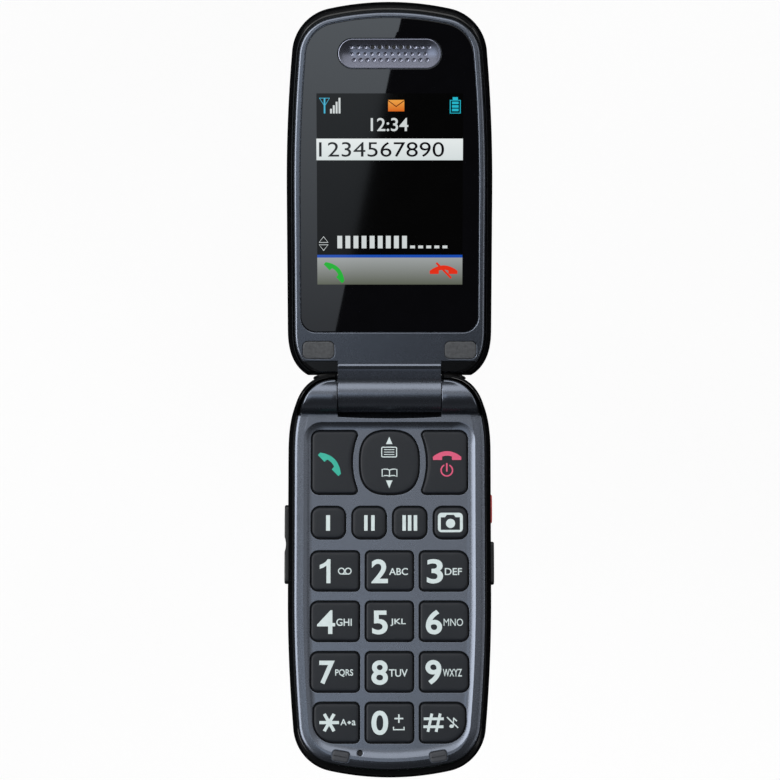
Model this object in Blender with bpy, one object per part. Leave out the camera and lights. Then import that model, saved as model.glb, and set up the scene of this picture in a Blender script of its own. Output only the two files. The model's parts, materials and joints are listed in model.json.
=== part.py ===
"""Clamshell mobile phone, lying open on its back: base, battery, keys, hinge and lid.

Lengths are metres. X is across the phone, +Y runs from the keypad's end towards the
lid, +Z is up out of the keypad. The origin is the middle of the base's flat back face.
Places along the base are distances from the hinge axis towards the keypad's end.
The lid is modelled in its own frame: X across, Y away from the hinge axis, Z out of
the side that carries the window. An empty on the hinge axis turns it to its stop.
"""

import math

import bmesh
import bpy

# Fits shared by many pieces
FIT = 0.00025
SIDE_GAP = 0.0003
OVERRUN = 0.001
CRACK = 0.00001
SHARP_EDGE = math.radians(30)

# Plan of both halves
WIDTH = 0.0510
BASE_REACH = 0.0954
LID_REACH = 0.0965
END_RADIUS = 0.070
CORNER_RADIUS = 0.0115
SIDE_RADIUS = 0.374
SIDE_STRAIGHT_END = 0.050

# Shoulders of the base beside the hinge, and the lid's corners beside it
SHOULDER_WIDTH = 0.0125
SHOULDER_LENGTH = 0.0201
SHOULDER_POWER_SHARE = 2.5
CHIN_START = 0.0024
CHIN_WIDTH = 0.0125
CHIN_LENGTH = 0.0136
CHIN_POWER_SHARE = 2.6

# Hinge
SWING = math.radians(165)
EAR_RADIUS = 0.0051
BARREL_RADIUS = 0.00485
BARREL_WIDTH = 0.0256
BARREL_SIDE_GAP = 0.00025
EAR_SETBACK = 0.0003
POCKET_GAP = 0.0004
POCKET_WALL = 0.0010
POCKET_BOW = 0.0003
TONGUE_REACH = 0.0071
TONGUE_BEND = 0.0059
TONGUE_PROUD = 0.0002
NECK_DEPTH_SHARE = 0.985
CHIN_GAP = 0.0004
STOP_GAP = 0.0003
HINGE_BORE_RADIUS = 0.00305
NOSE_RADIUS = 0.0018
NOSE_LENGTH_SHARE = 0.3307
CARTRIDGE_LENGTH = 0.0120
BUSH_LENGTH = 0.0060
AXIS_OVER_FACE = 0.0005
FACE_GAP = 0.0010

# Base stack, from the back face up
DOOR_THICKNESS = 0.0009
BATTERY_THICKNESS = 0.0042
WELL_FLOOR = 0.0007
BOARD_THICKNESS = 0.0008
DOME_SHEET_THICKNESS = 0.00015
DOME_HEIGHT = 0.0002
MAT_THICKNESS = 0.0004
KEY_TRAVEL = 0.0003
KEY_REST_GAP = 0.0001
KEY_FLANGE = 0.0004
FRONT_WALL = 0.0012
DISH_DEPTH = 0.00035

# Base covers
BACK_WALL = 0.0021
REAR_ROUNDING = 0.0032
REAR_WALL = 0.00145
RIM_DROP = 0.0023
REAR_SIDE_SHARES = (
    (1.0, 0.0), (0.5, 0.05), (0.18, 0.17), (0.03, 0.36), (0.0, 0.56), (0.05, 0.79), (0.22, 1.0))
EAR_TAPER = 0.0009
FRONT_SKIRT_WALL = 0.0012
FRONT_SKIRT_DROP = 0.0036
FRONT_SLOPE = 0.0010
FRONT_SLOPE_WIDTH = 0.00235
FRONT_SLOPE_SHARES = ((0.0, 0.0), (0.0, -0.6), (0.1, 0.05), (0.38, 0.55), (1.0, 1.0))

# Keypad dish
DISH_INSET = 0.0043
DISH_START = 0.0077
DISH_END_MARGIN = 0.0046
DISH_CORNER = 0.0045
DISH_WALL_RUN = 0.0004

# Keys
KEY_PROUD = 0.00055
KEY_EDGE = 0.00045
KEY_HOLE_GAP = 0.00025
KEY_FLANGE_MARGIN = 0.0005
KEY_CORNER = 0.0018
KEY_EDGE_SHARES = ((0.0, 0.0), (0.2, 0.6), (1.0, 1.0))
NUMBER_ROW_START = 0.03935
NUMBER_ROW_GAP = 0.00249
NUMBER_ROWS_END_MARGIN = 0.00878
KEYS_SIDE_MARGIN = 0.00585
MIDDLE_KEY_WIDTH = 0.0120
OUTER_KEY_INNER_EDGE = 0.0074
LAST_ROW_NARROWING = 0.00075
LAST_ROW_CORNER_SHARE = 0.5
HOT_ROW_START = 0.0283
HOT_KEY_LENGTH = 0.0081
HOT_ROW_MARGIN = 0.01048
HOT_KEY_GAP = 0.00153
CALL_ROW_START = 0.00935
CALL_KEY_LENGTH = 0.01595
CALL_KEY_SIDE_MARGIN = 0.0060
CALL_KEY_INNER_EDGE = 0.00795
CALL_KEY_BOW = 0.0013
CALL_KEY_INNER_CORNER = 0.0009
NAV_KEY_WIDTH = 0.0150
NAV_KEY_LENGTH = 0.0161
NAV_POWER_SHARE = 2.7
DOME_RADIUS = 0.0020

# Keys in the side walls
SIDE_KEY_HEIGHT = 0.0044
SIDE_FLANGE = 0.0008
SIDE_FLANGE_MARGIN = 0.0004
SIDE_FLANGE_GAP = 0.0004
SIDE_KEY_CORNER = 0.0007
SIDE_KEY_EDGE = 0.0003
ROCKER_START = 0.0277
ROCKER_LENGTH = 0.0198
ROCKER_DEPTH = 0.0030
ROCKER_PROUD = 0.00085
SIDE_KEY_START = 0.0369
SIDE_KEY_LENGTH = 0.0108
SIDE_KEY_DEPTH = 0.0026
SIDE_KEY_PROUD = 0.00073
HELP_KEY_START = 0.02505
HELP_KEY_LENGTH = 0.0073
HELP_KEY_PROUD = 0.00045

# Base fittings
BATTERY_SIDE_ROOM = 0.0170
BATTERY_END_ROOM = 0.0124
BATTERY_START = 0.0330
BATTERY_CORNER = 0.0012
WELL_WALL = 0.0010
DOOR_SIDE_ROOM = 0.0120
DOOR_START = 0.0290
DOOR_END_ROOM = 0.0079
DOOR_CORNER = 0.0040
DOOR_GAP = 0.0002
BOARD_INSET = 0.0022
BOARD_START = 0.0078
MAT_INSET = 0.0040
MAT_START = 0.0084
SCREW_HEAD_RADIUS = 0.0015
SCREW_HEAD = 0.0008
SCREW_SHANK_RADIUS = 0.0008
SCREW_HEAD_SINK = 0.0003
BOSS_RADIUS = 0.0020
EAR_SCREW_MARGIN = 0.0070
EAR_SCREW_PLACE = 0.0022
EAR_SCREW_BITE = 0.0024
END_SCREW_MARGIN = 0.0042
BUMPER_SIDE_SHARE = 0.4725
BUMPER_END_MARGIN = 0.0056
BUMPER_LENGTH = 0.0042
BUMPER_WIDTH = 0.0026
BUMPER_PROUD = 0.0007
BUMPER_SEAT = 0.0008
BUMPER_CORNER = 0.0007
MIC_BESIDE_BUMPER = 0.00477
MIC_END_MARGIN = 0.0063
MIC_HOLE_RADIUS = 0.00065
MIC_RADIUS = 0.0019
SPEAKER_INNER_EDGE = 0.0030
SPEAKER_SIDE_MARGIN = 0.0085
SPEAKER_PLACE = 0.0200
SPEAKER_THICKNESS = 0.0032
SLOT_MARGIN = 0.0030
SLOT_WIDTH = 0.0009
SLOT_PITCH = 0.0021
SLOT_COUNT = 4
MOTOR_SIDE_MARGIN = 0.0195
MOTOR_PLACE = 0.0275
MOTOR_RADIUS = 0.0019
MOTOR_LENGTH = 0.0065
MOTOR_WEIGHT_LENGTH = 0.0030
SIM_INNER_EDGE = 0.0015
SIM_SIDE_MARGIN = 0.0080
SIM_PLACE = 0.0165
SIM_LENGTH = 0.0130
SIM_THICKNESS = 0.0014
ANTENNA_END_MARGIN = 0.0013
ANTENNA_START = 0.0005
ANTENNA_LENGTH = 0.0060
ANTENNA_THICKNESS = 0.0014
CONTACT_WIDTH = 0.0090
CONTACT_LENGTH = 0.0019
CONTACT_HEIGHT = 0.0026
SOCKET_SIDE = 0.0095
SOCKET_WIDTH = 0.0074
SOCKET_HEIGHT = 0.0026
SOCKET_LENGTH = 0.0056
SOCKET_SINK = 0.0007
SOCKET_MOUTH_WALL = 0.0003
SOCKET_MOUTH_DEPTH = 0.0045

# Lid stack, from the window side to the back
GLASS_DROP = 0.00005
GLASS_THICKNESS = 0.00095
PLATE_BEHIND_GLASS = 0.00065
DISPLAY_THICKNESS = 0.0017
OUTER_DISPLAY_THICKNESS = 0.00115
OUTER_WALL = 0.0012

# Lid covers
LID_RIM_DROP = 0.0015
LID_ROUNDING = 0.0032
LID_SIDE_SHARES = ((1.0, 0.0), (0.5, 0.07), (0.17, 0.23), (0.0, 0.48), (0.03, 0.77), (0.22, 1.0))
LID_SKIRT_WALL = 0.0010
LID_END_WALL_REACH = 0.0076
LID_EDGE = 0.0009
LID_EDGE_SHARES = ((0.0, 1.0), (0.25, 0.35), (1.0, 0.0))

# Window and what is behind it
WINDOW_INSET = 0.0035
WINDOW_END_INSET = 0.0040
WINDOW_START = 0.0153
WINDOW_CORNER = 0.0037
DISPLAY_SIDE_MARGIN = 0.00745
DISPLAY_START = 0.0272
DISPLAY_END_MARGIN = 0.0224
DISPLAY_BORDER = 0.0018
DISPLAY_OPENING_MARGIN = 0.0005
EARPIECE_END_MARGIN = 0.0127
EARPIECE_WIDTH = 0.0250
EARPIECE_LENGTH = 0.0071
EARPIECE_SINK = 0.00015
EARPIECE_THICKNESS = 0.0007
EARPIECE_DISH = 0.0003
EARPIECE_SLOT_MARGIN = 0.0016
RECEIVER_WIDTH = 0.0150
RECEIVER_LENGTH = 0.0066
RECEIVER_THICKNESS = 0.0024

# Rest of the lid
PAD_SIDE_MARGIN = 0.0078
PAD_PLACE = 0.01075
PAD_WIDTH = 0.0078
PAD_LENGTH = 0.0043
PAD_CORNER = 0.0013
PAD_PROUD = 0.0001
PAD_SEAT = 0.0005
LID_SCREW_HEAD = 0.0005
LID_BOSS_RADIUS = 0.0019
LID_BOARD_START_SHARE = 0.4767
LID_BOARD_END_MARGIN = 0.0195
LID_BOARD_SIDE_MARGIN = 0.0065
LID_BOARD_THICKNESS = 0.0007
CAMERA_PLACE_SHARE = 0.1814
CAMERA_SIZE = 0.0078
CAMERA_LENS_RADIUS = 0.0025
CAMERA_THICKNESS = 0.0029
CAMERA_WINDOW_RADIUS = 0.0042
OUTER_GLASS_THICKNESS = 0.0005
OUTER_GLASS_DROP = 0.00005
OUTER_WINDOW_PLACE_SHARE = 0.3627
OUTER_WINDOW_MARGIN = 0.0090
OUTER_WINDOW_LENGTH = 0.0190
OUTER_WINDOW_CORNER = 0.0030
OUTER_DISPLAY_MARGIN = 0.0025
OUTER_DISPLAY_LENGTH = 0.0150

# Counts
ARC_STEPS = 7
END_STEPS = 3
SIDE_STEPS = 4
SHOULDER_STEPS = 9
KEY_CORNER_STEPS = 4
ROUND_COUNT = 24
BARREL_COUNT = 40
SMALL_ROUND_COUNT = 12
ROW_COUNT = 4
POCKET_ARC_STEPS = 5
POCKET_BOW_STEPS = 6

# Heights in the base, worked up from the back face
BATTERY_LOW = DOOR_THICKNESS + FIT
BATTERY_TOP = BATTERY_LOW + BATTERY_THICKNESS
WELL_CEILING = BATTERY_TOP + FIT
WELL_TOP = WELL_CEILING + WELL_FLOOR
BOARD_LOW = WELL_TOP + FIT
BOARD_TOP = BOARD_LOW + BOARD_THICKNESS
DOME_SHEET_LOW = BOARD_TOP + FIT
DOME_SHEET_TOP = DOME_SHEET_LOW + DOME_SHEET_THICKNESS
DOME_TOP = DOME_SHEET_TOP + DOME_HEIGHT
MAT_LOW = DOME_TOP + FIT
MAT_TOP = MAT_LOW + MAT_THICKNESS
FLANGE_LOW = MAT_TOP + KEY_REST_GAP + KEY_TRAVEL
FLANGE_TOP = FLANGE_LOW + KEY_FLANGE
WALL_LOW = FLANGE_TOP + FIT
DISH_FLOOR = WALL_LOW + FRONT_WALL
FACE = DISH_FLOOR + DISH_DEPTH
HINGE_HEIGHT = FACE + AXIS_OVER_FACE
RIM_HEIGHT = FACE - RIM_DROP
FLOOR_TOP = BACK_WALL

# Plan values worked out from the driving sizes
HALF_WIDTH = WIDTH / 2
HINGE_Y = (BASE_REACH - EAR_RADIUS) / 2
NOSE_LENGTH = (HALF_WIDTH - BARREL_WIDTH / 2) * NOSE_LENGTH_SHARE
NUMBER_ROWS_LENGTH = BASE_REACH - NUMBER_ROWS_END_MARGIN - NUMBER_ROW_START
NUMBER_ROW_PITCH = (NUMBER_ROWS_LENGTH + NUMBER_ROW_GAP) / ROW_COUNT
NUMBER_KEY_LENGTH = NUMBER_ROW_PITCH - NUMBER_ROW_GAP
LAST_ROW_CORNER = LAST_ROW_CORNER_SHARE * NUMBER_KEY_LENGTH
OUTER_KEY_WIDTH = HALF_WIDTH - KEYS_SIDE_MARGIN - OUTER_KEY_INNER_EDGE
HOT_KEY_PITCH = (WIDTH - HOT_ROW_MARGIN) / ROW_COUNT
HOT_KEY_WIDTH = HOT_KEY_PITCH - HOT_KEY_GAP
CALL_KEY_WIDTH = HALF_WIDTH - CALL_KEY_SIDE_MARGIN - CALL_KEY_INNER_EDGE
BATTERY_WIDTH = WIDTH - BATTERY_SIDE_ROOM
BATTERY_LENGTH = BASE_REACH - BATTERY_START - BATTERY_END_ROOM
DOOR_WIDTH = WIDTH - DOOR_SIDE_ROOM
DOOR_LENGTH = BASE_REACH - DOOR_START - DOOR_END_ROOM
EAR_SCREW_SIDE = HALF_WIDTH - EAR_SCREW_MARGIN
END_SCREW_PLACE = BASE_REACH - END_SCREW_MARGIN
BUMPER_SIDE = HALF_WIDTH * BUMPER_SIDE_SHARE
BUMPER_PLACE = BASE_REACH - BUMPER_END_MARGIN
MIC_SIDE = BUMPER_SIDE - MIC_BESIDE_BUMPER
MIC_PLACE = BASE_REACH - MIC_END_MARGIN
SPEAKER_RADIUS = (HALF_WIDTH - SPEAKER_INNER_EDGE - SPEAKER_SIDE_MARGIN) / 2
SPEAKER_SIDE = SPEAKER_INNER_EDGE + SPEAKER_RADIUS
SLOT_LENGTH = 2 * (SPEAKER_RADIUS - SLOT_MARGIN)
MOTOR_SIDE = HALF_WIDTH - MOTOR_SIDE_MARGIN
SIM_WIDTH = HALF_WIDTH - SIM_INNER_EDGE - SIM_SIDE_MARGIN
SIM_SIDE = SIM_INNER_EDGE + SIM_WIDTH / 2
ANTENNA_WIDTH = BARREL_WIDTH - 2 * ANTENNA_END_MARGIN
DISPLAY_WIDTH = WIDTH - 2 * DISPLAY_SIDE_MARGIN
DISPLAY_LENGTH = LID_REACH - DISPLAY_START - DISPLAY_END_MARGIN
EARPIECE_PLACE = LID_REACH - EARPIECE_END_MARGIN
PAD_SIDE = HALF_WIDTH - PAD_SIDE_MARGIN
LID_BOARD_START = LID_REACH * LID_BOARD_START_SHARE
CAMERA_PLACE = LID_REACH * CAMERA_PLACE_SHARE
OUTER_WINDOW_PLACE = LID_REACH * OUTER_WINDOW_PLACE_SHARE
LID_BOARD_LENGTH = LID_REACH - LID_BOARD_START - LID_BOARD_END_MARGIN
LID_BOARD_WIDTH = WIDTH - 2 * LID_BOARD_SIDE_MARGIN
OUTER_WINDOW_WIDTH = WIDTH - 2 * OUTER_WINDOW_MARGIN
OUTER_DISPLAY_WIDTH = OUTER_WINDOW_WIDTH - 2 * OUTER_DISPLAY_MARGIN
BARREL_HALF = BARREL_WIDTH / 2
POCKET_HALF = BARREL_HALF + BARREL_SIDE_GAP
FRONT_INSET = REAR_WALL + SIDE_GAP
REST_TILT = math.pi - SWING
SCREW_HOLE_RADIUS = SCREW_SHANK_RADIUS + FIT
SCREW_SINK_RADIUS = SCREW_HEAD_RADIUS + FIT
EAR_BORE_RADIUS = NOSE_RADIUS + FIT
CARTRIDGE_RADIUS = HINGE_BORE_RADIUS - FIT

# Heights in the lid: Z is down from the hinge axis, away from the window side
LID_FACE = AXIS_OVER_FACE - FACE_GAP
GLASS_TOP = LID_FACE - GLASS_DROP
GLASS_LOW = GLASS_TOP - GLASS_THICKNESS
WINDOW_SEAT = GLASS_LOW - FIT
PLATE_LOW = WINDOW_SEAT - PLATE_BEHIND_GLASS
DISPLAY_TOP = PLATE_LOW - FIT
DISPLAY_LOW = DISPLAY_TOP - DISPLAY_THICKNESS
OUTER_DISPLAY_TOP = DISPLAY_LOW - FIT
OUTER_DISPLAY_LOW = OUTER_DISPLAY_TOP - OUTER_DISPLAY_THICKNESS
LID_FLOOR = OUTER_DISPLAY_LOW - FIT
LID_OUTSIDE = LID_FLOOR - OUTER_WALL
LID_RIM = LID_FACE - LID_RIM_DROP
LID_SKIRT_LOW = LID_FLOOR + SIDE_GAP


def clear_scene():
    """Remove every object, so that the file starts empty."""
    for item in list(bpy.data.objects):
        bpy.data.objects.remove(item, do_unlink=True)


def finish(name, colour, roughness, metallic=0.0):
    """Make one Principled material."""
    material = bpy.data.materials.new(name)
    material.use_nodes = True
    shader = material.node_tree.nodes["Principled BSDF"]
    shader.inputs["Base Color"].default_value = (*colour, 1.0)
    shader.inputs["Roughness"].default_value = roughness
    shader.inputs["Metallic"].default_value = metallic
    return material


def curve_points(centre, radii, start, end, steps, power=2.0):
    """Points along a superellipse arc; a power of 2 makes it an ellipse."""
    points = []
    for step in range(steps + 1):
        angle = start + (end - start) * step / steps
        cosine, sine = math.cos(angle), math.sin(angle)
        x = math.copysign(abs(cosine) ** (2 / power), cosine)
        y = math.copysign(abs(sine) ** (2 / power), sine)
        points.append((centre[0] + radii[0] * x, centre[1] + radii[1] * y))
    return points


def circle(radius, count=ROUND_COUNT, centre=(0.0, 0.0)):
    """Points of a closed circle."""
    turn = 2 * math.pi * (count - 1) / count
    return curve_points(centre, (radius, radius), 0.0, turn, count - 1)


def rounded_box(half_x, half_y, corner, steps=KEY_CORNER_STEPS, centre=(0.0, 0.0)):
    """Points of a rectangle with round corners; corner is one radius or four."""
    corners = corner if isinstance(corner, tuple) else (corner,) * 4
    signs = ((1, 1), (-1, 1), (-1, -1), (1, -1))
    points = []
    for index, ((sign_x, sign_y), radius) in enumerate(zip(signs, corners)):
        middle = (centre[0] + sign_x * (half_x - radius), centre[1] + sign_y * (half_y - radius))
        start = index * math.pi / 2
        points += curve_points(middle, (radius, radius), start, start + math.pi / 2, steps)
    return points


def circles_meet(first, first_radius, second, second_radius):
    """The outer of the two points where circles meet, on the far side from the hinge."""
    dx, dy = second[0] - first[0], second[1] - first[1]
    distance = math.hypot(dx, dy)
    along = (distance ** 2 + first_radius ** 2 - second_radius ** 2) / (2 * distance)
    across = math.sqrt(first_radius ** 2 - along ** 2)
    foot = (first[0] + along * dx / distance, first[1] + along * dy / distance)
    options = [(foot[0] - sign * across * dy / distance, foot[1] + sign * across * dx / distance)
               for sign in (1, -1)]
    return max(options)


def half_plan(reach, start, shoulder, power, inset, steps):
    """One side of a cover's plan, from the middle of its free end round to the hinge."""
    end_centre = (0.0, reach - END_RADIUS)
    side_centre = (HALF_WIDTH - SIDE_RADIUS, SIDE_STRAIGHT_END)
    end_reach, side_reach = END_RADIUS - CORNER_RADIUS, SIDE_RADIUS - CORNER_RADIUS
    corner = circles_meet(end_centre, end_reach, side_centre, side_reach)
    from_end = math.atan2(corner[1] - end_centre[1], corner[0] - end_centre[0])
    from_side = math.atan2(corner[1] - side_centre[1], corner[0] - side_centre[0])
    end_radius, corner_radius, side_radius = (r - inset for r in (END_RADIUS, CORNER_RADIUS, SIDE_RADIUS))
    points = curve_points(end_centre, (end_radius,) * 2, math.pi / 2, from_end, END_STEPS)
    points += curve_points(corner, (corner_radius,) * 2, from_end, from_side, ARC_STEPS)[1:]
    points += curve_points(side_centre, (side_radius,) * 2, from_side, 0.0, SIDE_STEPS)[1:]
    middle = (HALF_WIDTH - inset - shoulder[0], start + shoulder[1])
    points += curve_points(middle, shoulder, 0.0, -math.pi / 2, steps, power)
    return points


def plan(reach, start, shoulder, power=2.0, inset=0.0, steps=SHOULDER_STEPS):
    """Closed plan of a cover as (across, distance from the hinge axis) points."""
    right = half_plan(reach, start, shoulder, power, inset, steps)
    left = [(-x, y) for x, y in reversed(right[1:])]
    return right + left


def base_plan(inset):
    """Plan of the base at an inset from its widest line, in world X and Y."""
    shoulder = (SHOULDER_WIDTH - inset, SHOULDER_LENGTH - inset)
    points = plan(BASE_REACH, inset - EAR_RADIUS, shoulder, SHOULDER_POWER_SHARE, inset)
    return [(x, HINGE_Y - d) for x, d in points]


def base_area(inset, start, corner, end_margin=0.0):
    """Plan of a piece that follows the base's sides but starts square below the hinge."""
    points = plan(BASE_REACH - end_margin, start, (corner, corner), inset=inset, steps=KEY_CORNER_STEPS)
    return [(x, HINGE_Y - d) for x, d in points]


def lid_plan(inset):
    """Plan of the lid at an inset from its widest line, in the lid's frame."""
    chin = (CHIN_WIDTH - inset, CHIN_LENGTH - inset)
    return plan(LID_REACH, CHIN_START + inset, chin, CHIN_POWER_SHARE, inset)


def lid_area(inset, start, corner, end_margin=0.0):
    """Plan of a lid piece that follows its sides but starts square near the hinge."""
    return plan(LID_REACH - end_margin, start, (corner, corner), inset=inset, steps=KEY_CORNER_STEPS)


def level(points, z):
    """Lift plan points to one height."""
    return [(x, y, z) for x, y in points]


def section(points, x):
    """Stand points of a side view, (along, up), on one plane across the phone."""
    return [(x, y, z) for y, z in points]


def loft(mesh, rings, closed=False):
    """Add walls between rings of equal count, with end caps unless the rings close up."""
    loops = [[mesh.verts.new(point) for point in ring] for ring in rings]
    pairs = list(zip(loops, loops[1:]))
    if closed:
        pairs.append((loops[-1], loops[0]))
    for lower, upper in pairs:
        for index in range(len(lower)):
            following = (index + 1) % len(lower)
            mesh.faces.new((lower[index], lower[following], upper[following], upper[index]))
    if not closed:
        mesh.faces.new(reversed(loops[0]))
        mesh.faces.new(loops[-1])


def solid(name, lofts, material=None, place=(0.0, 0.0, 0.0), parent=None):
    """Object made of one or more lofts; without a material it is a guide for a Boolean."""
    mesh = bmesh.new()
    for rings in lofts:
        loft(mesh, rings)
    bmesh.ops.recalc_face_normals(mesh, faces=mesh.faces)
    data = bpy.data.meshes.new(name)
    mesh.to_mesh(data)
    mesh.free()
    item = bpy.data.objects.new(name, data)
    bpy.context.scene.collection.objects.link(item)
    item.location = place
    item.parent = parent
    if material is None:
        item.hide_render = True
        item.display_type = "WIRE"
    else:
        data.materials.append(material)
    return item


def combine(item, operation, *guides):
    """Add one exact Boolean for each guide, and close the tiny cracks that it can leave."""
    for guide in guides:
        modifier = item.modifiers.new(guide.name, "BOOLEAN")
        modifier.operation = operation
        modifier.solver = "EXACT"
        modifier.object = guide
        weld = item.modifiers.new(guide.name + "_weld", "WELD")
        weld.merge_threshold = CRACK
    return item


def settle():
    """Give every piece its finished mesh, smooth but for its real edges, and drop the guides."""
    graph = bpy.context.evaluated_depsgraph_get()
    pieces = [item for item in bpy.data.objects if item.type == "MESH" and not item.hide_render]
    guides = [item for item in bpy.data.objects if item.type == "MESH" and item.hide_render]
    meshes = [bpy.data.meshes.new_from_object(item.evaluated_get(graph)) for item in pieces]
    for item, mesh in zip(pieces, meshes):
        mesh.shade_smooth()
        mesh.set_sharp_from_angle(angle=SHARP_EDGE)
        item.modifiers.clear()
        item.data = mesh
    for item in guides:
        bpy.data.objects.remove(item, do_unlink=True)


def slab(points, low, high):
    """Rings of a straight slab between two heights."""
    return [level(points, low), level(points, high)]


def block(low, high):
    """Rings of a box between two corners."""
    plan_points = [(low[0], low[1]), (high[0], low[1]), (high[0], high[1]), (low[0], high[1])]
    return slab(plan_points, low[2], high[2])


def post(radius, low, high, centre=(0.0, 0.0), count=ROUND_COUNT):
    """Rings of an upright round post."""
    return slab(circle(radius, count, centre), low, high)


def turned(profile, centre=(0.0, 0.0), count=SMALL_ROUND_COUNT):
    """Rings of an upright turned piece from (radius, height) pairs."""
    return [level(circle(radius, count, centre), z) for radius, z in profile]


def rod(profile, along, up, count=ROUND_COUNT):
    """Rings of a piece turned about a line across the phone, from (radius, x) pairs."""
    return [section(circle(radius, count, (along, up)), x) for radius, x in profile]


def tongue_angle():
    """Angle, in the lid's side view, where the bent tongue meets the round barrel."""
    height = LID_FACE + TONGUE_PROUD
    distance = math.hypot(TONGUE_BEND, height)
    return math.atan2(height, TONGUE_BEND) + math.acos(BARREL_RADIUS / distance)


def pocket_rings(clearance, end, top, half):
    """Space for the barrel and closed tongue, grown by a clearance, bowed in the middle."""
    radius = BARREL_RADIUS + clearance
    foot = math.pi + tongue_angle()
    axis = (HINGE_Y, HINGE_HEIGHT)
    arc = curve_points(axis, (radius, radius), 1.5 * math.pi, foot, POCKET_ARC_STEPS)
    run = (top - arc[-1][1]) / math.tan(foot - math.pi / 2)
    rings = []
    for step in range(POCKET_BOW_STEPS + 1):
        share = 2 * step / POCKET_BOW_STEPS - 1
        edge = arc[-1][0] + run - POCKET_BOW * (1 - share ** 2)
        profile = [(HINGE_Y + end, HINGE_HEIGHT - radius)] + arc + [(edge, top), (HINGE_Y + end, top)]
        rings.append(section(profile, share * half))
    return rings


def hinge_pocket():
    """Guide that clears the barrel and tongue out of both base covers."""
    top = HINGE_HEIGHT + EAR_RADIUS + OVERRUN
    return solid("guide_hinge_pocket", [pocket_rings(POCKET_GAP, EAR_RADIUS + OVERRUN, top, POCKET_HALF)])


def ear_cylinder(name):
    """Guide: the round form of the ears, right across the base."""
    rings = rod(((EAR_RADIUS, -WIDTH), (EAR_RADIUS, WIDTH)), HINGE_Y, HINGE_HEIGHT, BARREL_COUNT)
    return solid(name, [rings])


def screw_places():
    """Plan places of the base's screws: two in the ears and one at the keypad's end."""
    ear_y = HINGE_Y - EAR_SCREW_PLACE
    return {
        "base_screw_left": (-EAR_SCREW_SIDE, ear_y),
        "base_screw_right": (EAR_SCREW_SIDE, ear_y),
        "base_screw_end": (0.0, HINGE_Y - END_SCREW_PLACE),
    }


def key_shapes():
    """Every front key as name, middle (x, distance from axis) and outline function."""
    shapes = []

    def box_key(name, x, start, width, length, corners=(KEY_CORNER,) * 4, bow=0.0):
        def outline(margin):
            return key_outline(width / 2 + margin, length / 2 + margin, corners, margin, bow)
        shapes.append((name, (x, start + length / 2), outline))

    inner = (KEY_CORNER, CALL_KEY_INNER_CORNER)
    call_x = CALL_KEY_INNER_EDGE + CALL_KEY_WIDTH / 2
    box_key("call_key", -call_x, CALL_ROW_START, CALL_KEY_WIDTH, CALL_KEY_LENGTH,
            (inner[1], inner[0], inner[0], inner[1]), CALL_KEY_BOW)

    def nav_outline(margin):
        radii = (NAV_KEY_WIDTH / 2 + margin, NAV_KEY_LENGTH / 2 + margin)
        turn = 2 * math.pi * (ROUND_COUNT - 1) / ROUND_COUNT
        return curve_points((0.0, 0.0), radii, 0.0, turn, ROUND_COUNT - 1, NAV_POWER_SHARE)

    shapes.append(("nav_key", (0.0, CALL_ROW_START + CALL_KEY_LENGTH / 2), nav_outline))
    box_key("end_key", call_x, CALL_ROW_START, CALL_KEY_WIDTH, CALL_KEY_LENGTH,
            (inner[0], inner[1], inner[1], inner[0]), -CALL_KEY_BOW)

    for index, name in enumerate(("hot_key_1", "hot_key_2", "hot_key_3", "camera_key")):
        box_key(name, (index - 1.5) * HOT_KEY_PITCH, HOT_ROW_START, HOT_KEY_WIDTH, HOT_KEY_LENGTH)

    rows = (("key_1", "key_2", "key_3"), ("key_4", "key_5", "key_6"),
            ("key_7", "key_8", "key_9"), ("star_key", "key_0", "hash_key"))
    for row, names in enumerate(rows):
        start = NUMBER_ROW_START + row * NUMBER_ROW_PITCH
        last = row == len(rows) - 1
        width = OUTER_KEY_WIDTH - (LAST_ROW_NARROWING if last else 0.0)
        outer_x = OUTER_KEY_INNER_EDGE + width / 2
        outer_corner = LAST_ROW_CORNER if last else KEY_CORNER
        left = (KEY_CORNER, KEY_CORNER, outer_corner, KEY_CORNER)
        right = (KEY_CORNER, KEY_CORNER, KEY_CORNER, outer_corner)
        box_key(names[0], -outer_x, start, width, NUMBER_KEY_LENGTH, left)
        box_key(names[1], 0.0, start, MIDDLE_KEY_WIDTH, NUMBER_KEY_LENGTH)
        box_key(names[2], outer_x, start, width, NUMBER_KEY_LENGTH, right)
    return shapes


def key_outline(half_x, half_y, corners, margin, bow):
    """Outline of a box-shaped key; bow hollows its right side, or its left if negative."""
    radii = tuple(radius + margin for radius in corners)
    points = rounded_box(half_x, half_y, radii)
    if not bow:
        return points
    side = 1 if bow > 0 else -1
    # The hollow side runs between the corner arcs that end and start it.
    first = len(points) if side > 0 else 2 * (KEY_CORNER_STEPS + 1)
    straight = half_y - radii[0 if side > 0 else 1]
    hollow = []
    for step in range(1, KEY_CORNER_STEPS):
        share = 2 * step / KEY_CORNER_STEPS - 1
        hollow.append((side * half_x - bow * (1 - share ** 2), side * straight * share))
    return points[:first] + hollow + points[first:]


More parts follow.
